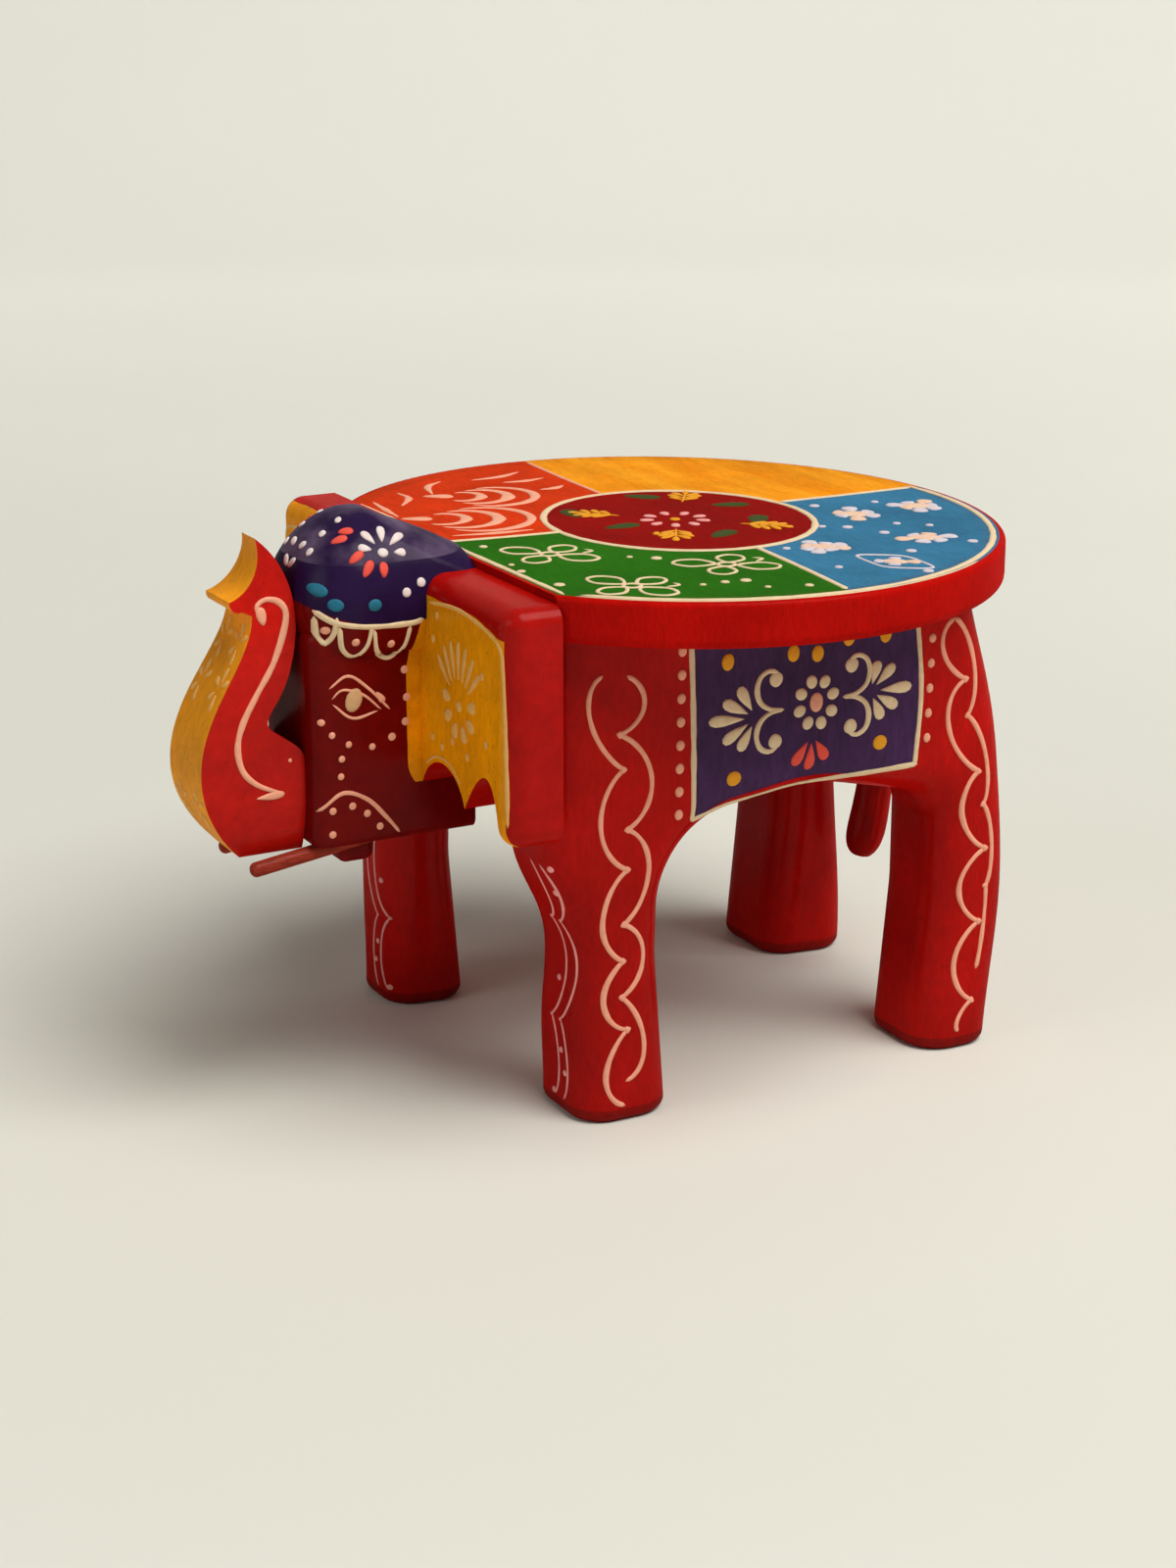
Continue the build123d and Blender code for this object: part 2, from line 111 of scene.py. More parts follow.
class STOOL_PG_varnish(bpy.types.PropertyGroup):
    """The clear varnish over the paint."""
    roughness: fraction("Paint roughness", "Roughness of the paint under the varnish", 0.5)
    coat: fraction("Varnish", "Strength of the varnish", 0.13)
    coat_roughness: fraction("Varnish roughness", "How much the varnish blurs a glint", 0.2)


class STOOL_PG_studio(bpy.types.PropertyGroup):
    """The floor, the lamps and the camera."""
    floor_colour: paint_pot("Floor colour", "Colour of the floor and the backdrop", "E3E3D9")
    camera_place: position("Camera place", "Where the camera stands", (0.7120, -0.3796, 0.3264))
    camera_aim: position("Camera aim", "The point that the camera looks at", (-0.0796, 0.0445, 0.0488))
    lens: quantity("Lens", "Focal length for a 36 mm frame, in millimetres", 66.79, least=1.0)
    key_power: quantity("Key lamp", "Power of the main lamp, in watts", 113.0)
    fill_power: quantity("Fill lamp", "Power of the large soft lamp, in watts", 12.0)
    backdrop_glow: quantity("Backdrop glow", "Glow of the far floor, only to the eye, to even it out", 0.38)
    sky_level: quantity("Sky level", "Brightness of the light from all round", 0.1)


# ------------------------------------------------------------------ mixing materials
class Amount:
    """A number that changes over the surface, worked out by nodes as it is written."""

    def __init__(self, mix, socket):
        self.mix, self.socket = mix, socket

    def worked(self, operation, *others):
        node = self.mix.tree.nodes.new("ShaderNodeMath")
        node.operation = operation
        for entry, value in zip(node.inputs, (self,) + others):
            self.mix.feed(entry, value)
        return Amount(self.mix, node.outputs[0])

    def __add__(self, other):
        return self.worked("ADD", other)

    def __sub__(self, other):
        return self.worked("SUBTRACT", other)

    def __mul__(self, other):
        return self.worked("MULTIPLY", other)

    def __gt__(self, other):
        return self.worked("GREATER_THAN", other)

    def __lt__(self, other):
        return self.worked("LESS_THAN", other)

    def size(self):
        return self.worked("ABSOLUTE")


EVEN = (1, 1, 1)


class NodeTree:
    """A node tree and short ways to add to it."""

    def __init__(self, tree):
        self.tree = tree

    def feed(self, entry, value):
        if isinstance(value, Amount):
            self.tree.links.new(value.socket, entry)
        elif isinstance(value, bpy.types.NodeSocket):
            self.tree.links.new(value, entry)
        elif entry.type == "RGBA":
            entry.default_value = (*value[:3], 1.0)
        else:
            entry.default_value = value

    def add(self, kind, settings=(), **entries):
        node = self.tree.nodes.new(kind)
        for name, value in dict(settings).items():
            setattr(node, name, value)
        for name, value in entries.items():
            self.feed(node.inputs[name.replace("_", " ")], value)
        return node

    def seen(self):
        """1 on the rays that show to the eye, straight, mirrored or through glass, and 0 on all others."""
        path = self.add("ShaderNodeLightPath")
        straight, mirrored, through = (Amount(self, path.outputs[f"Is {kind} Ray"])
                                       for kind in ("Camera", "Glossy", "Transmission"))
        return straight + mirrored + through

    def blend(self, share, first, second, how="MIX"):
        node = self.tree.nodes.new("ShaderNodeMix")
        node.data_type = "RGBA"
        node.blend_type = how
        self.feed(node.inputs["Factor"], share)
        for entry, colour in zip([e for e in node.inputs if e.type == "RGBA"], (first, second)):
            self.feed(entry, colour)
        return [out for out in node.outputs if out.type == "RGBA"][0]


class Mix(NodeTree):
    """A material being mixed. Its x, y and z are in millimetres."""

    def __init__(self, name):
        self.material = bpy.data.materials.new(name)
        self.material.use_nodes = True
        super().__init__(self.material.node_tree)
        self.tree.nodes.clear()
        self.spot = self.add("ShaderNodeTexCoord").outputs["Object"]
        apart = self.add("ShaderNodeSeparateXYZ", Vector=self.spot)
        self.x, self.y, self.z = (Amount(self, out) * (1 / MM) for out in apart.outputs)
        normal = self.add("ShaderNodeNewGeometry").outputs["True Normal"]
        facing = self.add("ShaderNodeSeparateXYZ", Vector=normal)
        self.face_x, self.face_y, self.face_z = (Amount(self, out) for out in facing.outputs)

    def cloudy(self, scale, lowest=0.0, highest=1.0, detail=4.0, stretch=EVEN):
        """Soft noise over the surface between two levels, drawn out along the brush by stretch."""
        turned = self.add("ShaderNodeMapping", Vector=self.spot, Scale=stretch)
        cloud = self.add("ShaderNodeTexNoise", Vector=turned.outputs[0], Scale=scale, Detail=detail)
        spread = self.add("ShaderNodeMapRange", Value=cloud.outputs["Fac"], From_Min=0.3, From_Max=0.7,
                          To_Min=lowest, To_Max=highest)
        return Amount(self, spread.outputs["Result"])

    def patchy(self, paint, other, scale, most, detail=4.0, stretch=EVEN):
        """A paint that gives way to another in soft patches, by most where they are strongest."""
        return self.blend(self.cloudy(scale, 0.0, most, detail, stretch), paint, tint(other))

    def shaken(self, scale, most):
        """The small shifts of an edge that was painted by hand, in millimetres."""
        return self.cloudy(scale, -most, most, 2.0)

    def from_oval(self, middle, half):
        """How far out a place is from the middle of an oval, where 1 is the oval's own line."""
        across = (self.x - middle.x) * (1 / half.x)
        along = (self.y - middle.y) * (1 / half.y)
        return across * across + along * along

    def finish(self, colour, roughness, bump, coat, coat_roughness):
        """The shader. The paint itself has no gloss, so that only the varnish shines."""
        shader = self.add("ShaderNodeBsdfPrincipled", Base_Color=colour, Roughness=roughness, Normal=bump,
                          Specular_IOR_Level=0.0, Coat_Weight=coat, Coat_Roughness=coat_roughness)
        out = self.add("ShaderNodeOutputMaterial")
        self.tree.links.new(shader.outputs[0], out.inputs[0])
        return self.material


DIRT = (0.02, 0.008, 0.004)


def varnished(mix, colour, stretch=EVEN, gloss=1.0):
    """Brushed paint under varnish: streaks, thin patches, specks of dirt and a slightly uneven surface."""
    varnish = bpy.context.scene.stool_varnish
    streaks = mix.cloudy(260.0, 0.88, 1.1, 5.0, stretch)
    patches = mix.cloudy(38.0, 0.84, 1.12, 3.0)
    level = streaks * patches
    grey = mix.add("ShaderNodeCombineXYZ", X=level, Y=level, Z=level)
    brushed = mix.blend(1.0, colour, grey.outputs[0], "MULTIPLY")
    specks = mix.cloudy(900.0, -0.9, 1.9, 2.0) > 1.76  # only the highest peaks of the noise
    dirty = mix.blend(specks * 0.3, brushed, DIRT)
    rough = mix.cloudy(120.0, varnish.roughness - 0.1, varnish.roughness + 0.14, 3.0, stretch)
    height = mix.cloudy(420.0, stretch=stretch) + mix.cloudy(1500.0, detail=2.0) * 0.25
    bump = mix.add("ShaderNodeBump", Height=height, Strength=0.24, Distance=0.4 * MM)
    return mix.finish(dirty, rough, bump.outputs[0], varnish.coat * gloss, varnish.coat_roughness)


THINNED = (0.84, 0.66, 0.54)


def enamel(name, colour):
    """The paint of raised strokes and dots: a little thin in places, and drier than the varnish around."""
    mix = Mix(name)
    stained = tuple(channel * share for channel, share in zip(colour, THINNED))
    mottled = mix.blend(mix.cloudy(500.0, 0.0, 0.42, 3.0), colour, stained)
    bump = mix.add("ShaderNodeBump", Height=mix.cloudy(1400.0, detail=3.0), Strength=0.25, Distance=0.2 * MM)
    return mix.finish(mottled, mix.cloudy(300.0, 0.42, 0.62, 2.0), bump.outputs[0], 0.1, 0.25)


def paint_of(name):
    """The enamel of that name, mixed once."""
    material = bpy.data.materials.get(name)
    return material or enamel(name, getattr(bpy.context.scene.stool_paints, name))


def dress(node, material):
    """Gives a wooden piece its finish."""
    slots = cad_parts[node].data.materials
    slots.clear()
    slots.append(material)


# ------------------------------------------------------------------ drawing on the wood
class Canvas:
    """One side of a wooden piece, seen straight on. A place on it is (across, up) in millimetres.
    side -1 is the same canvas mirrored to the elephant's right side."""
    trees = {}

    def __init__(self, node, facing, across, side=1):
        facing = Vector(facing).normalized()
        across = Vector(across)
        across = (across - facing * across.dot(facing)).normalized()
        turned = [facing, across, facing.cross(across)]
        self.facing, self.across, self.up = [Vector((side * v.x, v.y, v.z)) for v in turned]
        if node not in self.trees:
            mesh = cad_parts[node].data
            corners = [vertex.co for vertex in mesh.vertices]
            self.trees[node] = BVHTree.FromPolygons(corners, [tuple(face.vertices) for face in mesh.polygons])
        self.tree = self.trees[node]
        self.side = side

    def flat(self, point):
        """The place of a point given in millimetres on the elephant's left side."""
        point = Vector((self.side * point[0], point[1], point[2]))
        return Vector((point.dot(self.across), point.dot(self.up)))

    def touch(self, place, height):
        """The point of the surface under a place, raised by height along the surface's own direction."""
        start = (self.across * place[0] + self.up * place[1]) * MM + self.facing
        spot, normal, _, _ = self.tree.ray_cast(start, -self.facing)
        if spot is None:
            raise RuntimeError(f"the brush misses the wood at {tuple(place)}")
        return spot + normal * height


def around(middle, radius, turn, squash=1.0):
    """The place at a turn round a middle."""
    return Vector((middle[0] + radius * cos(turn), middle[1] + radius * squash * sin(turn)))


def axes(turn):
    """A step of 1 along a turn, and one to its left."""
    return Vector((cos(turn), sin(turn))), Vector((-sin(turn), cos(turn)))


def flank_of(node, side):
    return Canvas(node, (1, 0, 0), (0, 1, 0), side)


def front_of(node):
    return Canvas(node, (0, -1, 0), (1, 0, 0))


def mirrored(places, side):
    """Places on a front canvas, or their mirror image for side -1."""
    return [(side * across, up) for across, up in places]


def smooth_line(places, closed=False, step=1.0):
    """Even places along a soft line through the given ones."""
    places = [Vector(place) for place in places]
    if closed:
        padded = [places[-1], *places, places[0], places[1]]
    else:
        padded = [2 * places[0] - places[1], *places, 2 * places[-1] - places[-2]]
    line = []
    for before, start, end, after in zip(padded, padded[1:], padded[2:], padded[3:]):
        parts = max(2, round((end - start).length / step))
        for part in range(parts):
            t = part / parts
            bend = 2 * before - 5 * start + 4 * end - after
            twist = 3 * start - before - 3 * end + after
            line.append(0.5 * (2 * start + (end - before) * t + bend * t * t + twist * t ** 3))
    if not closed:
        line.append(places[-1])
    return line


class Brush:
    """Raised paint of one colour, laid on stroke by stroke and made into one mesh at the end."""
    dab_levels = ((0.82, 0.72), (0.42, 1.0))  # share of the way out, share of the height
    line_levels = ((-0.7, 0.7), (0, 1.0), (0.7, 0.7))

    def __init__(self, name, paint, slot):
        self.name, self.paint, self.slot = name, paint, slot
        self.points, self.faces = [], []
        settings = bpy.context.scene.stool_brush
        self.height, self.sink, self.wobble = settings.height, settings.sink, settings.wobble

    def ring(self, canvas, places, height):
        first = len(self.points)
        self.points += [canvas.touch(place, height) for place in places]
        return list(range(first, len(self.points)))

    def dab(self, canvas, middle, length, width=None, angle=0.0, drop=0.0, height=1.0):
        """An oval dab. drop above 0 draws in the end that points away from angle, like a falling drop."""
        width = width or length
        middle = Vector(middle)
        count = 14 if length > 3 else 10
        along, beside = axes(angle)
        turns = [2 * pi * k / count for k in range(count)]
        outline = [along * cos(turn) * length / 2 + beside * sin(turn) * width / 2 * (1 + drop * cos(turn))
                   for turn in turns]
        raised = self.height * height * min(1.0, 0.45 + width / 4)
        levels = [(1.0, -self.sink)] + [(share, raised * rise) for share, rise in self.dab_levels]
        rings = [self.ring(canvas, [middle + out * share for out in outline], rise) for share, rise in levels]
        bottom, top = self.ring(canvas, [middle], -self.sink) + self.ring(canvas, [middle], raised)
        for k in range(count):
            after = (k + 1) % count
            self.faces.append((bottom, rings[0][after], rings[0][k]))
            for low, high in zip(rings, rings[1:]):
                self.faces.append((low[k], low[after], high[after], high[k]))
            self.faces.append((rings[-1][k], rings[-1][after], top))

    def dabs(self, canvas, middles, length, width=None, angle=0.0):
        for middle in middles:
            self.dab(canvas, middle, length, width, angle)

    def petal(self, canvas, base, tip, width, drop=0.55):
        """A dab pressed down at the tip and lifted towards the base."""
        base, tip = Vector(base), Vector(tip)
        reach = tip - base
        self.dab(canvas, (base + tip) / 2, reach.length, width, atan2(reach.y, reach.x), drop)

    def share_of_width(self, place, width, to_end, total, thin_ends):
        """How wide a line is at a place: hand-drawn, thinner near its ends and round at them."""
        share = 1.0 + self.wobble * noise.noise(Vector((place.x, place.y, width)) * 0.21)
        if to_end is not None:
            share *= 1 - thin_ends * max(0.0, 1 - to_end / min(total / 2, 6 * width))
            share *= sqrt(max(0.06, 1 - max(0.0, 1 - to_end / (width / 2)) ** 2))
        return share

    def stroke(self, canvas, places, width, closed=False, thin_ends=0.35, step=1.0):
        """A line drawn in one go; its ends are round and a little thinner."""
        line = smooth_line(places, closed, step)
        count = len(line)
        lengths = [0.0]
        for before, after in zip(line, line[1:]):
            lengths.append(lengths[-1] + (after - before).length)
        total = lengths[-1]
        sections = []
        for k, place in enumerate(line):
            if closed:
                heading = line[(k + 1) % count] - line[k - 1]
                to_end = None
            else:
                heading = line[min(k + 1, count - 1)] - line[max(k - 1, 0)]
                to_end = min(lengths[k], total - lengths[k])
            heading.normalize()
            beside = Vector((-heading.y, heading.x))
            share = self.share_of_width(place, width, to_end, total, thin_ends)
            half = width / 2 * share
            raised = self.height * min(1.0, 0.5 + width / 4) * min(1.0, share)
            levels = [(out, raised * rise) for out, rise in self.line_levels]
            levels = [(-1, -self.sink), *levels, (1, -self.sink)]
            sections.append([self.ring(canvas, [place + beside * half * out], rise)[0]
                             for out, rise in levels])
        pairs = list(zip(sections, sections[1:]))
        if closed:
            pairs.append((sections[-1], sections[0]))
        else:
            self.faces += [tuple(sections[0]), tuple(reversed(sections[-1]))]
        for here, there in pairs:
            for k in range(len(here)):
                after = (k + 1) % len(here)
                self.faces.append((here[k], there[k], there[after], here[after]))

    def cusps(self, canvas, places, width, thorn=2.2):
        """A wavy line of round bows that meet in points. places is point, bow, point, bow ... point."""
        for start, bow, end in zip(places[::2], places[1::2], places[2::2]):
            start, end = Vector(start), Vector(end)
            swell = (Vector(bow) - (start + end) / 2) * 0.92
            turns = [pi * k / 8 for k in range(9)]
            shares = [((1 - cos(turn)) / 2 + turn / pi) / 2 for turn in turns]
            arc = [start.lerp(end, share) + swell * sin(turn) for share, turn in zip(shares, turns)]
            self.stroke(canvas, arc, width, thin_ends=0.1)
        for before, point, after in zip(places[1::2], places[2::2], places[3::2]):
            point = Vector(point)
            away = (2 * point - Vector(before) - Vector(after)).normalized()
            self.petal(canvas, point + away * thorn * 0.6, point - away * thorn * 0.4, width * 1.25)

    def dry(self):
        """Makes the mesh, which moves with the stool."""
        mesh = bpy.data.meshes.new(self.name)
        mesh.from_pydata(self.points, [], self.faces)
        work = bmesh.new()
        work.from_mesh(mesh)
        bmesh.ops.recalc_face_normals(work, faces=work.faces)
        work.to_mesh(mesh)
        work.free()
        mesh.shade_smooth()
        mesh.materials.append(paint_of(self.paint))
        piece = bpy.data.objects.new(self.name, mesh)
        bpy.context.scene.collection.objects.link(piece)
        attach(piece, "root")


def brushes(slot, **paints):
    """A brush for each piece of ornament, dipped in the paint of that name."""
    return [Brush(name, paint, slot) for name, paint in paints.items()]


def dry(wet):
    for brush in wet:
        brush.dry()


# ------------------------------------------------------------------ seat
SEAT_MIDDLE = Vector((0, 27.14))
SEAT_HALF = Vector((101.8, 94))
SEAT_FRONT = -43.26
MEDALLION = Vector((0, 31.4))
MEDALLION_HALF = Vector((42, 38))
DIVIDERS = (
    ((-4.5, -40.5), (-2.2, -22), (-0.8, -5.7)),
    ((42.4, 31.9), (70, 29.6), (95.4, 26.8)),
    ((-7.4, 70.4), (-7, 92), (-7.3, 116.4)),
    ((-41.2, 29.2), (-70, 30.4), (-97.2, 32.2)),
)
FRONT_SPLIT = (-0.179, 0.109)  # where two quarters meet, and how much the line leans
REAR_SPLIT = -7.3
LEFT_SPLIT, RIGHT_SPLIT = (36, -0.097), (26.9, -0.054)
DARKER_FROM, PAINTED_TO = 0.86, 0.962  # squared shares of the way out to the rim
PETAL_HEART, SPRIG_HEART = Vector((-0.7, 30.6)), Vector((-0.7, 31))
PETAL_LOOP = ((0.22, 0), (0.6, 1), (0.93, 0.62), (1, 0), (0.9, -0.7), (0.55, -1))
CURL = ((0.62, 0.62), (0.85, 0.8), (0.78, 1.05))
GREEN_FLOWERS = (((22.8, -22.3), 0.62), ((66.2, -20.6), 0.35), ((56.4, 13.8), 0.9))
GREEN_DOTS = ((29.7, -37.4), (37.9, -38.6), (56.3, -36.8), (36.3, -4.8), (6.1, -34.2), (41, 0.9),
              (73.9, -3.7), (74, 2.9), (74.9, 8.7), (84, 9.9), (87.5, 20.4))
BLUE_FLOWERS = (  # middle, size, petals
    ((17.4, 80), 10, 6),
    ((16.6, 102.6), 9.6, 7),
    ((53.7, 80.3), 9.6, 6),
    ((50.3, 48.3), 9, 8),
    ((74.8, 55.6), 7.2, 4),
)
BLUE_DOTS = ((5.9, 94.8), (31.9, 68.4), (34.3, 83.5), (42.8, 73.6), (40.7, 90.4), (63.8, 89),
             (73.4, 38.6), (88.5, 57.1), (47.3, 38.4), (66, 67), (27.7, 62.5), (2.4, 76))
ORANGE_STROKES = (
    ((-85, 23), (-80.5, 14), (-80, 4)),
    ((-73, 25.5), (-71, 18), (-72.5, 11)),
    ((-60, 25.5), (-57, 21), (-57.5, 16)),
    ((-82.7, -5), (-77, -12), (-66, -15.6)),
    ((-73, -24), (-64, -24.4), (-55, -30.7)),
    ((-64, -36), (-52, -37.4), (-41, -38.2)),
    ((-11.1, -35.5), (-8.3, -24), (-7.6, -11.4)),
)
NESTS = (((-20.4, -5.6), 16, 9.4), ((-48.6, 10), 13.6, 8))  # top, half width, step inwards
NEST_WIDTHS = (3.2, 4.6, 4)
NEST_OPENING, NEST_SIDE = Vector((-0.47, -0.88)), Vector((0.88, -0.47))
YELLOW_DASHES = ((13.6, 16.4), (16.2, 19.8), (19, 23.6))
SPRIGS = ((-135, 24), (44, 26), (146, 31.5), (-30, 20))
LEAVES = ((-33.5, 38), (-11.2, 55.3), (0.2, 12.8), (22.4, 33), (10, 52), (-22, 8.4))


def on_oval(middle, half, inset, turn):
    """The place at a turn round an oval that lies inset inside another."""
    return Vector((middle.x + (half.x - inset) * cos(turn), middle.y + (half.y - inset) * sin(turn)))


def arc_on_oval(inset, start, end, parts):
    """Even places round the seat's oval, from one turn to another in degrees."""
    turns = [radians(start + (end - start) * k / parts) for k in range(parts + 1)]
    return [on_oval(SEAT_MIDDLE, SEAT_HALF, inset, turn) for turn in turns]


def seat_finish(paints):
    """Four painted quarters round a red medallion, and a red rim."""
    mix = Mix("painted_seat")
    shake = mix.shaken(70.0, 0.35)
    x, y = mix.x + shake, mix.y + shake
    on_left_front = x > y * FRONT_SPLIT[1] + FRONT_SPLIT[0]
    behind_left = y > x * LEFT_SPLIT[1] + LEFT_SPLIT[0]
    behind_right = y > x * RIGHT_SPLIT[1] + RIGHT_SPLIT[0]
    front = mix.blend(on_left_front, paints.seat_orange, paints.seat_green)
    rear = mix.blend(x > REAR_SPLIT, paints.seat_yellow, paints.seat_blue)
    behind = (x > 0.0) * behind_left + (x < 0.0) * behind_right
    quarters = mix.blend(behind, front, rear)
    from_rim = mix.from_oval(SEAT_MIDDLE, SEAT_HALF)
    # the top turns darker brown in soft patches near its rim
    darker_near_rim = mix.cloudy(16.0, 0.0, 0.25, 4.0, (3, 1, 1)) * (from_rim > DARKER_FROM)
    quarters = mix.blend(darker_near_rim, quarters, tint("5A2A10"))
    washed = mix.cloudy(48.0, 0.0, 0.6, 4.0, (0.5, 3, 1)) * behind_right * (mix.x < REAR_SPLIT)
    quarters = mix.blend(washed, quarters, tint("FFB028"))
    inside = mix.from_oval(MEDALLION, MEDALLION_HALF) < 1.0
    painted = mix.blend(inside, quarters, paints.medallion_red)
    top = (mix.face_z > 0.9) * (from_rim < PAINTED_TO) * (mix.y > SEAT_FRONT + 1.2)
    return varnished(mix, mix.blend(top, paints.body_red, painted), (1, 5, 1), gloss=0.3)


def looped_flower(brush, canvas, middle, turn, reach=14.5, line=1.25):
    """Four petals and a round heart, each an open loop of line, and a small curl."""
    middle = Vector(middle)
    for petal in range(4):
        out, beside = axes(turn + petal * pi / 2)
        length, swell = ((reach, 4.1), (reach * 0.82, 3.7))[petal % 2]
        loop = [middle + out * length * far + beside * swell * wide for far, wide in PETAL_LOOP]
        brush.stroke(canvas, loop, line, closed=True)
    brush.stroke(canvas, [around(middle, 2.4, 2 * pi * k / 7) for k in range(7)], line, closed=True)
    brush.stroke(canvas, [around(middle, reach * far, turn + bend) for far, bend in CURL], line)


def soft_flower(lilac, blush, canvas, middle, size, petals):
    """Quick petals, most of them lilac, round a pale heart. The one with four has a loose pointed border."""
    for petal in range(petals):
        turn = 2 * pi * petal / petals + middle[0]
        brush = blush if petal % 4 == 1 else lilac
        reach = size * (0.82 + 0.2 * sin(2.4 * petal + middle[1]))
        brush.petal(canvas, around(middle, size * 0.22, turn), around(middle, reach, turn), size * 0.46, 0.7)
    if petals == 4:
        reaches = [size * (1.75 if k % 4 == 0 else 1.15) for k in range(8)]
        border = [around(middle, reach, 0.5 + k * pi / 4, 0.8) for k, reach in enumerate(reaches)]
        lilac.stroke(canvas, border, 1.1, closed=True)
    blush.dab(canvas, middle, size * 1.1, size * 0.75, 0.9)


def sprig(brush, canvas, turn, reach):
    """A stem with pairs of leaves that point out of the medallion."""
    out, beside = axes(turn)
    root = SPRIG_HEART + out * (reach - 7)
    brush.stroke(canvas, [root, root + out * 7, root + out * 12], 0.9)
    for step, spread in ((2.5, 4.4), (5.5, 5.2), (8.5, 4.2)):
        for hand in (1, -1):
            start = root + out * step
            brush.petal(canvas, start, start + out * 4.6 + beside * hand * spread, 2.0)
    brush.petal(canvas, root + out * 10.5, root + out * 16, 2.2)


def nested_arches(brush, canvas, apex, half, gap):
    """Crescents inside each other that open towards the front right corner, and a drop inside the last."""
    apex = Vector(apex)
    for arch, width in enumerate(NEST_WIDTHS):
        top = apex + NEST_OPENING * gap * arch
        reach = half * (1 - arch * 0.27)
        turns = [radians(-118 + 23.6 * k) for k in range(11)]
        places = [top + NEST_OPENING * (1 - cos(turn)) * reach * 0.92 + NEST_SIDE * sin(turn) * reach
                  for turn in turns]
        brush.stroke(canvas, [place for place in places if inside_orange(place)], width, thin_ends=0.72)
    heart = apex + NEST_OPENING * gap * len(NEST_WIDTHS)
    brush.petal(canvas, heart + NEST_OPENING * 10, heart, 4.4)


def inside_orange(place, margin=5):
    """True where the orange quarter has room for a stroke."""
    across = (place.x - SEAT_MIDDLE.x) / (SEAT_HALF.x - margin)
    along = (place.y - SEAT_MIDDLE.y) / (SEAT_HALF.y - margin)
    return hypot(across, along) < 1 and place.y > SEAT_FRONT + margin and place.x < -6


class STOOL_OT_paint_seat(bpy.types.Operator):
    """Paint the seat board: quarters, medallion, border lines, flowers and arches"""
    bl_idname = "stool.paint_seat"
    bl_label = "Paint the seat"

    def execute(self, context):
        dress("seat_board", seat_finish(context.scene.stool_paints))
        top = Canvas("seat_board", (0, 0, 1), (1, 0, 0))
        tools = brushes("painted_seat", seat_cream_lines="cream", seat_lilac_flowers="lilac",
                        seat_blush_hearts="blush", seat_peach_strokes="peach", medallion_pink_petals="pink",
                        medallion_yellow_sprigs="marigold", medallion_green_leaves="leaf_green")
        cream, lilac, blush, peach, pink, sunny, leaves = tools
        self.draw_borders(top, cream, peach)
        self.fill_quarters(top, cream, lilac, blush, peach)
        self.fill_medallion(top, pink, sunny, leaves)
        dry(tools)
        return {"FINISHED"}

    def draw_borders(self, top, cream, peach):
        cream.stroke(top, arc_on_oval(3.6, -45.5, 96, 20), 2.1, step=2.0)
        cream.stroke(top, arc_on_oval(1.85, -46, 32, 12), 0.6, step=2.0)
        front_edge = [(66.4, SEAT_FRONT + 2.6), (0.0, SEAT_FRONT + 2.3), (-64.0, SEAT_FRONT + 2.4)]
        cream.stroke(top, front_edge, 2.0, step=2.0)
        for divider in DIVIDERS[:3]:
            cream.stroke(top, divider, 1.9, thin_ends=0.0)
        peach.stroke(top, DIVIDERS[3], 1.5, thin_ends=0.3)
        ring = [on_oval(MEDALLION, MEDALLION_HALF, 0.0, 2 * pi * k / 24) for k in range(24)]
        cream.stroke(top, ring, 2.3, closed=True)

    def fill_quarters(self, top, cream, lilac, blush, peach):
        for middle, turn in GREEN_FLOWERS:
            looped_flower(cream, top, middle, turn)
        for number, place in enumerate(GREEN_DOTS):
            cream.dab(top, place, 2.0 + number % 3 * 0.7)
        for middle, size, petals in BLUE_FLOWERS:
            soft_flower(lilac, blush, top, middle, size, petals)
        for number, place in enumerate(BLUE_DOTS):
            lilac.dab(top, place, 2.6 + number % 2 * 0.8)
        for apex, half, gap in NESTS:
            nested_arches(peach, top, apex, half, gap)
        for places in ORANGE_STROKES:
            peach.stroke(top, places, 2.6, thin_ends=0.7)

    def fill_medallion(self, top, pink, sunny, leaves):
        for petal in range(9):
            turn = petal * 2 * pi / 9 + 0.2
            pink.dab(top, around(PETAL_HEART, 8.2, turn), 4.6, 2.9, turn, 0.2)
        sunny.dab(top, PETAL_HEART, 3.4)
        for turn, reach in SPRIGS:
            sprig(sunny, top, radians(turn), reach)
        sunny.dabs(top, YELLOW_DASHES, 3.4, 2.3, radians(-40))
        for number, place in enumerate(LEAVES):
            leaves.dab(top, place, 13.0, 6.5, radians(45 + 25 * number), 0.3, height=0.4)


# ------------------------------------------------------------------ body
CLOTH_FRONT, CLOTH_REAR = -0.8, 72
CLOTH_FOOT = 84
CLOTH_FRONT_LINE = ((-1.7, 138.4), (-0.6, 112), (-0.2, 83.6))
CLOTH_REAR_LINE = ((70.2, 138.4), (72.9, 112.5), (71.6, 89.8))
# painted shade: how high above the floor the feet are darkened, in millimetres
FEET_SHADE_TO = 4
HOOK = ((0, 0), (4.5, 0.6), (7.6, 2.8), (8.7, 6.4), (7.6, 9.9), (4.9, 11.4), (2.6, 10.6), (2.7, 8.4))
CLOTH_FLOWER = Vector((38.3, 112.4))
MARIGOLD_DOTS = ((9.9, 127.3), (30.6, 127.2), (38.4, 126.2), (48.4, 129.5), (60.5, 129))
LOW_MARIGOLD_DOTS = ((12.3, 94.2), (59.6, 98))
CORAL_FAN = ((37.2, 103.4), ((31.4, 95.6), (36.4, 93.6), (41.8, 96)))
SCROLLS = (((27.9, 111.8), -1), ((46.9, 112.8), 1))
FANS = (
    ((19, 110.6), ((4.8, 111.2), (9, 116), (13.7, 119.4), (9.1, 105), (14, 102.2))),
    ((55.9, 113.2), ((69, 113.1), (63.4, 119.8), (58.2, 121.4), (64.6, 108), (59.8, 105.2))),
)
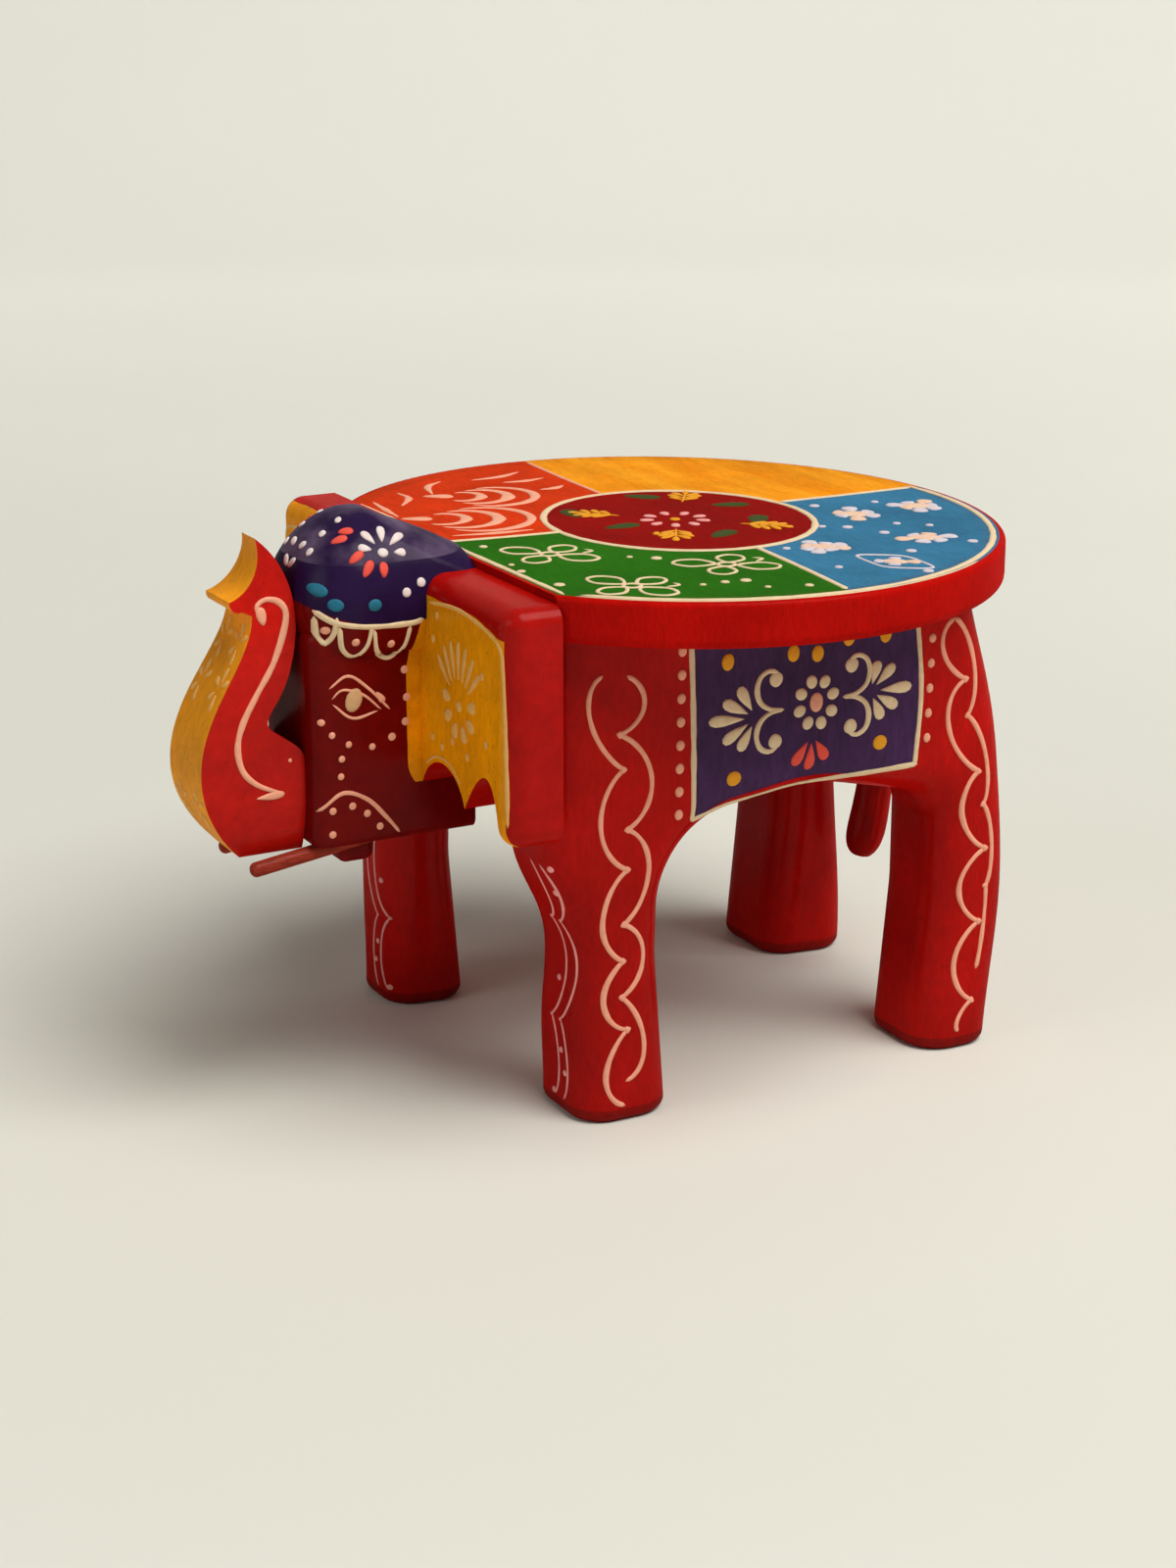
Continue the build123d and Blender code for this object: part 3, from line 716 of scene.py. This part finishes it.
FRONT_LEG_LINES = (
    ((-28.4, 128.3), (-32.7, 116.9), (-22.1, 101.7), (-29.5, 86.6), (-20.8, 73.4), (-28.6, 59.8),
     (-22.1, 47.4), (-28, 35.4), (-20.6, 27.2), (-27.4, 13.9), (-21.1, 4.9)),
    ((-21, 127.4), (-15.2, 118.8), (-23, 111.5), (-12.6, 98), (-20.5, 84.7), (-13.4, 72.4),
     (-21.6, 57.9), (-14.9, 48), (-22.1, 36.9), (-14.6, 22), (-20.9, 12)),
)
REAR_LEG_LINES = (
    ((83.6, 131), (79.4, 122.3), (87.9, 112.7), (82, 99.8), (93.6, 84.7), (88.4, 72.4), (97, 61.1),
     (88.4, 50), (95.8, 38.9), (87.4, 26.7), (94.3, 14.7), (89.8, 9.6), (90.3, 5.7)),
    ((83.6, 131), (91.2, 117.6), (89.3, 101.9), (96.6, 88.6), (96, 74.6), (99.8, 62.2),
     (97.9, 49.6), (97.6, 37), (95.6, 24.3)),
)
SHIN_LINE = ((55.5, 76), (59.5, 66.5), (53.8, 57.9), (58, 43), (50.9, 28.1), (55.2, 16), (52, 4.6))
SHIN_DOTS = ((59.4, 75.3), (58.6, 68), (48.7, 39.6), (51.5, 19.3), (53.3, 12.9), (46.5, 5.6))
LEG_SHIFTS = {1: (0, 0), -1: (-10.4, -0.5)}  # how far each side's front and rear feet are moved


def cloth_edge(along):
    """The foot of the saddle cloth, which follows the arch between the legs."""
    return along * along * -0.00066 + along * 0.13 + CLOTH_FOOT


def body_finish(paints):
    """Red paint with a violet saddle cloth on each flank, and painted shade low on the feet."""
    mix = Mix("red_painted_wood")
    along = mix.y + mix.shaken(60.0, 0.3)
    on_flank = (mix.face_x.size() > 0.8) * (mix.z > cloth_edge(along))
    within = (along > CLOTH_FRONT) * (along < CLOTH_REAR) * on_flank
    violet = mix.patchy(paints.cloth_violet, "33203C", 120.0, 0.55, 5.0, (1, 4, 1))
    red = mix.patchy(paints.body_red, "8A0C0A", 22.0, 0.5, 4.0, (1, 1, 0.6))
    # painted shade: the red is darkened halfway towards a dark brown-red in the lowest millimetres of the
    # feet, where they stand on the floor
    shaded_feet = mix.blend((mix.z < FEET_SHADE_TO) * 0.5, red, tint("4A100A"))
    return varnished(mix, mix.blend(within, shaded_feet, violet), (3, 3, 1))


def scroll(brush, canvas, cusp, hand):
    """Two hooks that meet in a point. Each goes out, round and back into a heavy bulb."""
    for rise in (1, -1):
        hook = [Vector((cusp[0] + hand * out, cusp[1] + rise * up)) for out, up in HOOK]
        brush.stroke(canvas, hook, 1.9, thin_ends=0.3)
        bulb = hook[-1] + (hook[-1] - hook[-2]) * 0.9
        brush.petal(canvas, bulb, hook[-2] + Vector((0, rise * 0.4)), 4.6, 0.1)


def fan(brush, canvas, root, tips):
    """Drops that spread from one root."""
    root = Vector(root)
    for tip in tips:
        reach = Vector(tip) - root
        brush.petal(canvas, root + reach * 0.22, root + reach * 1.08, 3.1, 0.75)


class STOOL_OT_paint_body(bpy.types.Operator):
    """Paint the body block red, with a saddle cloth on each flank"""
    bl_idname = "stool.paint_body"
    bl_label = "Paint the body"

    def execute(self, context):
        dress("body_block", body_finish(context.scene.stool_paints))
        tools = brushes("red_painted_wood", cloth_cream_ornament="cream", cloth_marigold_dots="marigold",
                        cloth_coral_petals="coral", cloth_peach_dots="peach")
        cream, sunny, coral, peach = tools
        hem = [(along, cloth_edge(along)) for along in (-0.6, 18.0, 36.0, 54.0, 72.5)]
        for side in (1, -1):
            flank = flank_of("body_block", side)
            cream.stroke(flank, CLOTH_FRONT_LINE, 1.9, thin_ends=0.0)
            cream.stroke(flank, hem, 1.9, thin_ends=0.1)
            cream.stroke(flank, CLOTH_REAR_LINE, 1.8, thin_ends=0.0)
            for petal in range(8):
                turn = petal * pi / 4 + 0.3
                cream.dab(flank, around(CLOTH_FLOWER, 5.6, turn, 1.12), 4.2, 3.7, turn)
            peach.dab(flank, CLOTH_FLOWER, 6.0, 4.6, pi / 2)
            for cusp, hand in SCROLLS:
                scroll(cream, flank, cusp, hand)
            for root, tips in FANS:
                fan(cream, flank, root, tips)
            sunny.dabs(flank, MARIGOLD_DOTS, 5.2, 4.2, pi / 2)
            sunny.dabs(flank, LOW_MARIGOLD_DOTS, 5.0, 4.6)
            fan(coral, flank, *CORAL_FAN)
            peach.dabs(flank, [(-4.2 - 0.1 * row, 132.0 - 6.5 * row) for row in range(8)], 3.2, 2.8, pi / 2)
            peach.dabs(flank, [(76.2 - 0.2 * row, 126.0 - 7.2 * row) for row in range(5)], 3.0, 2.5, pi / 2)
        dry(tools)
        return {"FINISHED"}


class STOOL_OT_paint_legs(bpy.types.Operator):
    """Draw the wavy lines down the legs"""
    bl_idname = "stool.paint_legs"
    bl_label = "Paint the legs"

    def execute(self, context):
        tools = brushes("red_painted_wood", leg_rose_waves="rose", shin_pink_waves="pink")
        rose, pink = tools
        shin = front_of("body_block")
        for side in (1, -1):
            flank = flank_of("body_block", side)
            for lines, shift in zip((FRONT_LEG_LINES, REAR_LEG_LINES), LEG_SHIFTS[side]):
                for line in lines:
                    moved = [(along + shift * self.share_of_leg(up), up) for along, up in line]
                    rose.cusps(flank, moved, 1.7)
            for offset in (0.0, -5.0):
                pink.cusps(shin, [(side * (across + offset), up) for across, up in SHIN_LINE], 0.9, 1.4)
            pink.dabs(shin, mirrored(SHIN_DOTS, side), 2.0)
        dry(tools)
        return {"FINISHED"}

    @staticmethod
    def share_of_leg(up):
        """How far down the leg a height is, from 0 at the flank to 1 at the knee and below."""
        return min(1.0, max(0.0, (112.0 - up) / 36.0))


# ------------------------------------------------------------------ head
CAP_FOOT, HAZE_FOOT = 137.4, 154
OCHRE_FRONT, OCHRE_FOOT, OCHRE_TOP = -63.6, 91.5, 141.5
CAP_LINE = ((-89.6, 142.6), (-86.5, 140.3), (-83.2, 139), (-74.2, 137.6), (-63.6, 137.4), (-60, 138.2))
SCALLOPS = ((-89.4, -84.6, 133.6), (-84, -75, 129.3), (-74.4, -63.8, 127.6))  # start, end, foot
BROW = ((-86.3, 121), (-80.8, 123.9), (-75.1, 120), (-68.6, 113.1))
EYELIDS = (
    ((-85.6, 118), (-82.4, 120.2), (-76.5, 118.2), (-71.2, 113.4)),
    ((-85.4, 116.6), (-79.6, 112), (-72.2, 113.2)),
)
PUPIL = (-79.2, 117)
EAR_DOTS = ((-64.1, 123.7), (-63.6, 115.9), (-64.1, 109.1), (-68.2, 105.3))
FACE_DOTS = ((-74.1, 103.3), (-81, 104.8), (-85.8, 108), (-88.6, 111.8), (-83.1, 101), (-83.5, 96.1))
CHEEK = ((-90.2, 86.7), (-83.1, 91.3), (-75.9, 88.6), (-70.2, 82.6), (-66.4, 77.8))
CHEEK_DOTS = ((-86.1, 86.7), (-80.3, 87.3), (-76, 84.6), (-72.3, 80.4), (-86.3, 80))
CAP_FLOWER = (17.6, -69.6, 156.2)
CAP_PETALS = ((-5, 6.5), (38, 9.5), (78, 9), (118, 8.5), (158, 7))  # turn, reach
CAP_STARS = ((6.7, -82.3, 160.7), (3, -86.5, 157.5), (7.7, -86.5, 156.3), (1.5, -89.2, 152.4),
             (6.2, -77.4, 163.9))
CAP_CORAL = (  # tip, root
    ((18.6, -75.4, 158.6), (17, -79.4, 153.6)),
    ((19.6, -73.4, 155.8), (20.4, -76.6, 150.6)),
    ((20.2, -70.4, 155.4), (20.6, -70.8, 149.8)),
    ((13.2, -77.6, 161), (11, -82, 158.6)),
    ((12.4, -75.4, 162.4), (10, -79.4, 161.4)),
)
CAP_TEAL = ((15.7, -87.9, 147.9), (20.4, -84.7, 144.3), (22.5, -74.3, 143.6))
CAP_DOTS = ((21.6, -60.4, 148.2), (22, -64.9, 146))


def cap_edge(along):
    """The cap's lower edge on the side of the head."""
    back = along + 67
    return back * back * 0.011 + CAP_FOOT


def head_finish(paints):
    """Dark red head under a violet cap; the ochre of the ears runs on to its sides."""
    mix = Mix("dark_red_painted_wood")
    shake = mix.shaken(60.0, 0.25)
    above, below = mix.z - 124.0, (mix.z - 97.0) * -1.0  # the ochre leans back above and is rounded below
    edge = above * (above > 0.0) * 0.2 + below * below * (below > 0.0) * 0.07 + OCHRE_FRONT
    on_side = (mix.z > OCHRE_FOOT) * (mix.z < OCHRE_TOP) * (mix.x.size() > 15.0)
    beside_ear = (mix.y + shake * 0.6 > edge) * on_side
    red = mix.patchy(paints.head_red, "5A0808", 35.0, 0.5)
    ochre = mix.patchy(paints.ochre, "CE7A10", 45.0, 0.4)
    hazy = mix.cloudy(55.0, -0.3, 0.85) * (mix.z > HAZE_FOOT)
    violet = mix.blend(hazy, paints.cap_violet, tint("74607C"))
    on_cap = mix.z + shake * 0.4 > cap_edge(mix.y)
    return varnished(mix, mix.blend(on_cap, mix.blend(beside_ear, red, ochre), violet))


class STOOL_OT_paint_head(bpy.types.Operator):
    """Paint the head: dark red sides, eyes, cheeks, and the violet cap with its flowers"""
    bl_idname = "stool.paint_head"
    bl_label = "Paint the head"

    def execute(self, context):
        dress("head", head_finish(context.scene.stool_paints))
        tools = brushes("dark_red_painted_wood", face_peach_lines="peach", cap_cream_border="cream",
                        eye_tan_dabs="sand", cap_white_petals="white", cap_coral_petals="coral",
                        cap_teal_dots="teal")
        peach, cream, tan, white, coral, teal = tools
        for side in (1, -1):
            face = flank_of("head", side)
            self.draw_border(face, cream, peach)
            self.draw_face(face, peach, tan)
            crown = Canvas("head", (0.72, -0.2, 0.66), (0, 1, 0), side)
            self.draw_flower(crown, white, coral)
            teal.dabs(face, [face.flat(dot) for dot in CAP_TEAL], 4.2, 3.6)
            white.dabs(face, [face.flat(dot) for dot in CAP_DOTS], 2.8)
        dry(tools)
        return {"FINISHED"}

    def draw_border(self, face, cream, peach):
        cream.stroke(face, CAP_LINE, 1.8, thin_ends=0.0)
        for start, end, foot in SCALLOPS:
            middle, shoulder = (start + end) / 2, (end - start) * 0.36
            top = cap_edge(middle) - 0.2
            rise = top - foot
            bow = [(start, top - 0.6), (middle - shoulder, foot + rise * 0.28), (middle, foot),
                   (middle + shoulder, foot + rise * 0.28), (end, top - 0.6)]
            cream.stroke(face, bow, 1.5, thin_ends=0.0)
            peach.dab(face, (middle, foot + rise * 0.46), 2.4)

    def draw_face(self, face, peach, tan):
        peach.stroke(face, BROW, 0.95)
        for eyelid in EYELIDS:
            peach.stroke(face, eyelid, 0.85)
        tan.dab(face, PUPIL, 7.2, 5.2, radians(70))
        peach.petal(face, (-72.6, 118.6), (-70.2, 115.2), 1.9)
        peach.dabs(face, EAR_DOTS, 2.5)
        peach.dabs(face, FACE_DOTS, 2.1)
        peach.stroke(face, CHEEK, 1.4)
        peach.dabs(face, CHEEK_DOTS, 2.3)

    def draw_flower(self, crown, white, coral):
        middle = crown.flat(CAP_FLOWER)
        white.dab(crown, middle, 3.2, 2.9)
        for turn, reach in CAP_PETALS:
            white.petal(crown, around(middle, 2.9, radians(turn)), around(middle, reach, radians(turn)), 2.3)
        white.dabs(crown, [crown.flat(star) for star in CAP_STARS], 2.6, 1.9, radians(50))
        for tip, root in CAP_CORAL:
            coral.petal(crown, crown.flat(root), crown.flat(tip), 2.6, 0.25)


# ------------------------------------------------------------------ trunk
TRUNK_LINE = ((-100.6, 139.4), (-102.6, 143.2), (-99.6, 145.1), (-95.6, 143.6), (-94.6, 139.2),
              (-98.7, 128.5), (-104.2, 120), (-108.6, 112.5), (-110.4, 106), (-109.2, 99.5),
              (-105.2, 95.2), (-98.6, 92))
TRUNK_FLOWERS = ((5, 133), (6.2, 121.5), (6, 89))


def trunk_finish(paints):
    """Bright red sides and an ochre front."""
    mix = Mix("trunk_red_and_ochre")
    front = (mix.face_x.size() < 0.7) * (mix.face_y < 0.25)
    ochre = mix.patchy(paints.ochre, "CE7A10", 60.0, 0.32, 3.0)
    red = mix.patchy(paints.trunk_red, "A01410", 30.0, 0.55, 3.0)
    return varnished(mix, mix.blend(front, red, ochre), (3, 1, 1), gloss=1.4)


class STOOL_OT_paint_trunk(bpy.types.Operator):
    """Paint the trunk: red sides with a curling line, and an ochre front with pale strokes"""
    bl_idname = "stool.paint_trunk"
    bl_label = "Paint the trunk"

    def execute(self, context):
        dress("trunk", trunk_finish(context.scene.stool_paints))
        tools = brushes("red_painted_wood", trunk_peach_line="peach", trunk_pale_strokes="pale_ochre")
        peach, pale = tools
        front = front_of("trunk")
        for side in (1, -1):
            flank = flank_of("trunk", side)
            peach.stroke(flank, TRUNK_LINE, 2.0, thin_ends=0.45)
            peach.dab(flank, (-101.4, 140.8), 5.4, 3.0, radians(100), 0.3)
            peach.petal(flank, (-106.0, 91.4), (-97.2, 91.8), 2.2)
            peach.dab(flank, (-95.6, 100.8), 1.2)
            for middle in mirrored(TRUNK_FLOWERS, side):
                for turn in [radians(30 + number * 62) for number in range(5)]:
                    pale.petal(front, around(middle, 1.2, turn), around(middle, 4.4, turn, 1.3), 1.5)
        dry(tools)
        return {"FINISHED"}


# ------------------------------------------------------------------ ears
EAR_REACH = {1: 70.7, -1: 80}
EAR_TOP = {1: 150, -1: 153.5}
OCHRE_REACH, OCHRE_PEAK = {1: 67.5, -1: 79}, {1: 144.8, -1: 152.3}  # where the red edge starts
HEAD_SIDE = 18
SCALLOP_TOP, SCALLOP_RISE = 99.8, 8.9
EAR_DABS = ((26.5, 133.6), (25, 106), (31, 104.6), (37.6, 107.8), (46.5, 105.6), (29, 140.6),
            (57.8, 112.0), (56.0, 130.0))


def ear_finish(paints):
    """Ochre fronts and red edges. On the right ear the ochre goes nearly to the edge."""
    mix = Mix("yellow_and_red_painted_wood")
    shake = mix.shaken(60.0, 0.4)
    on_left = mix.x > 0.0
    reach, top = (on_left * (ends[1] - ends[-1]) + ends[-1] for ends in (OCHRE_REACH, OCHRE_PEAK))
    out = mix.x.size() - 45.0
    arched = top - out * out * (out > 0.0) * (on_left * 0.006) + shake
    front = (mix.face_y < -0.3) * (mix.x.size() + shake < reach) * (mix.z < arched)
    ochre = mix.patchy(paints.ochre, "CE7A10", 45.0, 0.4)
    red = mix.patchy(paints.body_red, "8E0E0A", 30.0, 0.4, 3.0)
    return varnished(mix, mix.blend(front, red, ochre), (3, 1, 1), gloss=1.3)


class STOOL_OT_paint_ears(bpy.types.Operator):
    """Paint the ears: ochre fronts with a flower, and red edges"""
    bl_idname = "stool.paint_ears"
    bl_label = "Paint the ears"

    def execute(self, context):
        finish = ear_finish(context.scene.stool_paints)
        tools = brushes("yellow_and_red_painted_wood", ear_outline="pale_ochre", ear_flower="pale_ochre")
        for side, node in ((1, "ear_left"), (-1, "ear_right")):
            dress(node, finish)
            front = front_of(node)
            self.draw_outline(front, tools[0], side)
            self.draw_flower(front, tools[1], side)
        dry(tools)
        return {"FINISHED"}

    def draw_outline(self, front, pale, side):
        reach, top = EAR_REACH[side] - 3.0, EAR_TOP[side] - 5.4
        outline = [(23.6, top - 1.6), (35.0, top - 0.2), (46.0, top), (reach - 8, top - 2.0),
                   (reach - 2, top - 4.6), (reach - 0.6, top - 12), (reach, 110.0), (reach + 0.3, 92.0)]
        pale.stroke(front, mirrored(outline, side), 1.3)
        half = (EAR_REACH[side] - HEAD_SIDE) / 4
        radius = (half * half + SCALLOP_RISE ** 2) / (2 * SCALLOP_RISE)
        middle = (side * (HEAD_SIDE + half), SCALLOP_TOP - radius)
        turns = [radians(90 - side * turn) for turn in (-44, -22, 0, 22, 44)]
        pale.stroke(front, [around(middle, radius + 1.5, turn) for turn in turns], 0.8)

    def draw_flower(self, front, pale, side):
        flower = Vector((side * (HEAD_SIDE + (EAR_REACH[side] - HEAD_SIDE) * 0.45), 118.4))
        pale.dab(front, flower, 3.4, 3.2)
        for turn in [radians(170 + number * 40) for number in range(6)]:
            pale.dab(front, around(flower, 7.6, turn), 5.2, 3.6, turn, 0.3)
        for turn in [radians(40 + number * 100 / 6) for number in range(7)]:
            pale.petal(front, around(flower, 6.5, turn), around(flower, 17.0, turn, 1.08), 1.9)
        pale.dabs(front, mirrored(EAR_DABS, side), 2.6, 1.9, pi / 2)


# ------------------------------------------------------------------ tusks, tail and dowels
class STOOL_OT_finish_small_pieces(bpy.types.Operator):
    """Stain the tusks, paint the tail and leave the dowels bare"""
    bl_idname = "stool.finish_small_pieces"
    bl_label = "Finish the tusks, tail and dowels"

    def execute(self, context):
        paints = context.scene.stool_paints
        mix = Mix("dull_red_wood")
        grain = mix.patchy(paints.stain_red, "6E2418", 260.0, 0.7, 4.0, (6, 1, 6))
        stained = varnished(mix, grain, (5, 1, 5))
        mix = Mix("tail_red_wood")
        red = mix.patchy(paints.body_red, "86100C", 80.0, 0.7, 4.0, (3, 3, 1))
        worn = varnished(mix, red, (4, 4, 1))
        mix = Mix("bare_wood")
        rings = mix.patchy(paints.bare_wood, "9A7446", 420.0, 0.8, 5.0, (5, 1, 5))
        bare = varnished(mix, rings, (5, 1, 5))
        dress("tail", worn)
        for node in ("tusk_left", "tusk_right"):
            dress(node, stained)
        for node in ("seat_dowels", "head_dowels", "trunk_dowels", "ear_dowels"):
            dress(node, bare)
        return {"FINISHED"}


# ------------------------------------------------------------------ studio
FLOOR_FRONT, FLOOR_HALF = 14, 12
BEND_START, BEND_RADIUS = 1.9, 0.9
WALL_HEIGHT = 3.2
NEAR_FLOOR, FAR_FLOOR = 0.35, 1.7  # between these distances the floor's glow sets in
AWAY = Vector((-0.84217, 0.45116, 0)).normalized()  # level, from the camera to the stool
LAMPS = {  # place, aim, size, colour
    "key_lamp": ((1.4, 0.75, 2.85), (0, 0.02, 0.08), 2.6, (1, 0.985, 0.95)),
    "fill_lamp": ((0.2, -2.6, 1.5), (0, 0, 0.05), 1.6, (1, 0.985, 0.96)),
}
SKY_COLOUR = (0.97, 0.975, 1)


def sweep():
    """A pale floor that bends up into a backdrop behind the stool."""
    side = Vector((-AWAY.y, AWAY.x, 0))
    turns = [radians(turn) for turn in range(6, 91, 6)]
    profile = [(-FLOOR_FRONT, 0.0), (0.0, 0.0), (BEND_START, 0.0)]
    profile += [(BEND_START + BEND_RADIUS * sin(turn), BEND_RADIUS * (1 - cos(turn))) for turn in turns]
    profile.append((BEND_START + BEND_RADIUS, WALL_HEIGHT))
    points = [AWAY * out + side * half + Vector((0, 0, up))
              for out, up in profile for half in (FLOOR_HALF, -FLOOR_HALF)]
    faces = [(2 * k, 2 * k + 1, 2 * k + 3, 2 * k + 2) for k in range(len(profile) - 1)]
    mesh = bpy.data.meshes.new("studio_sweep")
    mesh.from_pydata(points, [], faces)
    mesh.shade_smooth()
    return mesh


def floor_finish(studio):
    """Matt floor. Away from the stool it also glows a little, only to the eye, so that it looks even."""
    mix = Mix("studio_floor")
    shade = mix.patchy(studio.floor_colour, "DEDACD", 3.0, 0.25, 2.0)
    bump = mix.add("ShaderNodeBump", Height=mix.cloudy(60.0), Strength=0.02)
    floor_paint = mix.finish(shade, mix.cloudy(8.0, 0.8, 0.95, 2.0), bump.outputs[0], 0.0, 0.5)
    away = mix.add("ShaderNodeVectorMath", {"operation": "LENGTH"}, Vector=mix.spot)
    glow = mix.add("ShaderNodeMapRange", Value=away.outputs["Value"], From_Min=NEAR_FLOOR, From_Max=FAR_FLOOR,
                   To_Min=0.0, To_Max=studio.backdrop_glow)
    shader = mix.tree.nodes["Principled BSDF"]
    mix.feed(shader.inputs["Emission Color"], studio.floor_colour)
    mix.feed(shader.inputs["Emission Strength"], mix.seen() * Amount(mix, glow.outputs["Result"]))
    return floor_paint


def lamp(name, power):
    place, aim, size, colour = LAMPS[name]
    light = bpy.data.lights.new(name, "AREA")
    light.shape = "DISK"
    light.size, light.energy, light.color = size, power, colour
    holder = bpy.data.objects.new(name, light)
    holder.location = place
    holder.rotation_euler = (Vector(aim) - Vector(place)).to_track_quat("-Z", "Y").to_euler()
    bpy.context.scene.collection.objects.link(holder)


class STOOL_OT_set_studio(bpy.types.Operator):
    """Set up the pale floor, the lamps, the sky and the camera"""
    bl_idname = "stool.set_studio"
    bl_label = "Set up the studio"

    def execute(self, context):
        scene = context.scene
        studio = scene.stool_studio
        floor = bpy.data.objects.new("studio_sweep", sweep())
        floor.data.materials.append(floor_finish(studio))
        scene.collection.objects.link(floor)
        lamp("key_lamp", studio.key_power)
        lamp("fill_lamp", studio.fill_power)
        scene.world = self.make_sky(studio)
        scene.camera = self.make_camera(studio)
        scene.collection.objects.link(scene.camera)
        scene.view_settings.view_transform = "Standard"
        return {"FINISHED"}

    def make_sky(self, studio):
        """Faint cool light from all round, which looks like the floor to the eye."""
        world = bpy.data.worlds.new("studio_sky")
        world.use_nodes = True
        sky = NodeTree(world.node_tree)
        background = sky.tree.nodes["Background"]
        shown = sky.seen()
        sky.feed(background.inputs["Color"], sky.blend(shown, SKY_COLOUR, studio.floor_colour))
        sky.feed(background.inputs["Strength"], shown * (1.0 - studio.sky_level) + studio.sky_level)
        return world

    def make_camera(self, studio):
        eye = bpy.data.cameras.new("camera")
        eye.lens = studio.lens
        eye.clip_start = 0.01
        camera = bpy.data.objects.new("camera", eye)
        camera.location = studio.camera_place
        aim = Vector(studio.camera_aim) - Vector(studio.camera_place)
        camera.rotation_euler = aim.to_track_quat("-Z", "Y").to_euler()
        return camera


# ------------------------------------------------------------------ panel
class STOOL_PT_panel(bpy.types.Panel):
    """The stool's tools and settings"""
    bl_idname = "STOOL_PT_panel"
    bl_label = "Elephant Stool"
    bl_space_type = "VIEW_3D"
    bl_region_type = "UI"
    bl_category = "Stool"

    def draw(self, context):
        scene = context.scene
        for step in STEPS:
            self.layout.operator(step.bl_idname)
        for title, group in (("Paints", scene.stool_paints), ("Brush", scene.stool_brush),
                             ("Varnish", scene.stool_varnish), ("Studio", scene.stool_studio)):
            box = self.layout.box()
            box.label(text=title)
            for name in group.__annotations__:
                box.prop(group, name)


SETTINGS = {
    "stool_paints": STOOL_PG_paints,
    "stool_brush": STOOL_PG_brush,
    "stool_varnish": STOOL_PG_varnish,
    "stool_studio": STOOL_PG_studio,
}
STEPS = (
    STOOL_OT_paint_seat,
    STOOL_OT_paint_body,
    STOOL_OT_paint_legs,
    STOOL_OT_paint_head,
    STOOL_OT_paint_trunk,
    STOOL_OT_paint_ears,
    STOOL_OT_finish_small_pieces,
    STOOL_OT_set_studio,
)


def register():
    for group in (*SETTINGS.values(), *STEPS, STOOL_PT_panel):
        bpy.utils.register_class(group)
    for name, group in SETTINGS.items():
        setattr(bpy.types.Scene, name, PointerProperty(type=group))


def unregister():
    for name in SETTINGS:
        delattr(bpy.types.Scene, name)
    for group in (STOOL_PT_panel, *reversed(STEPS), *SETTINGS.values()):
        bpy.utils.unregister_class(group)


def main():
    register()
    for step in STEPS:
        getattr(bpy.ops.stool, step.bl_idname.removeprefix("stool."))()


if __name__ == "__main__":
    main()
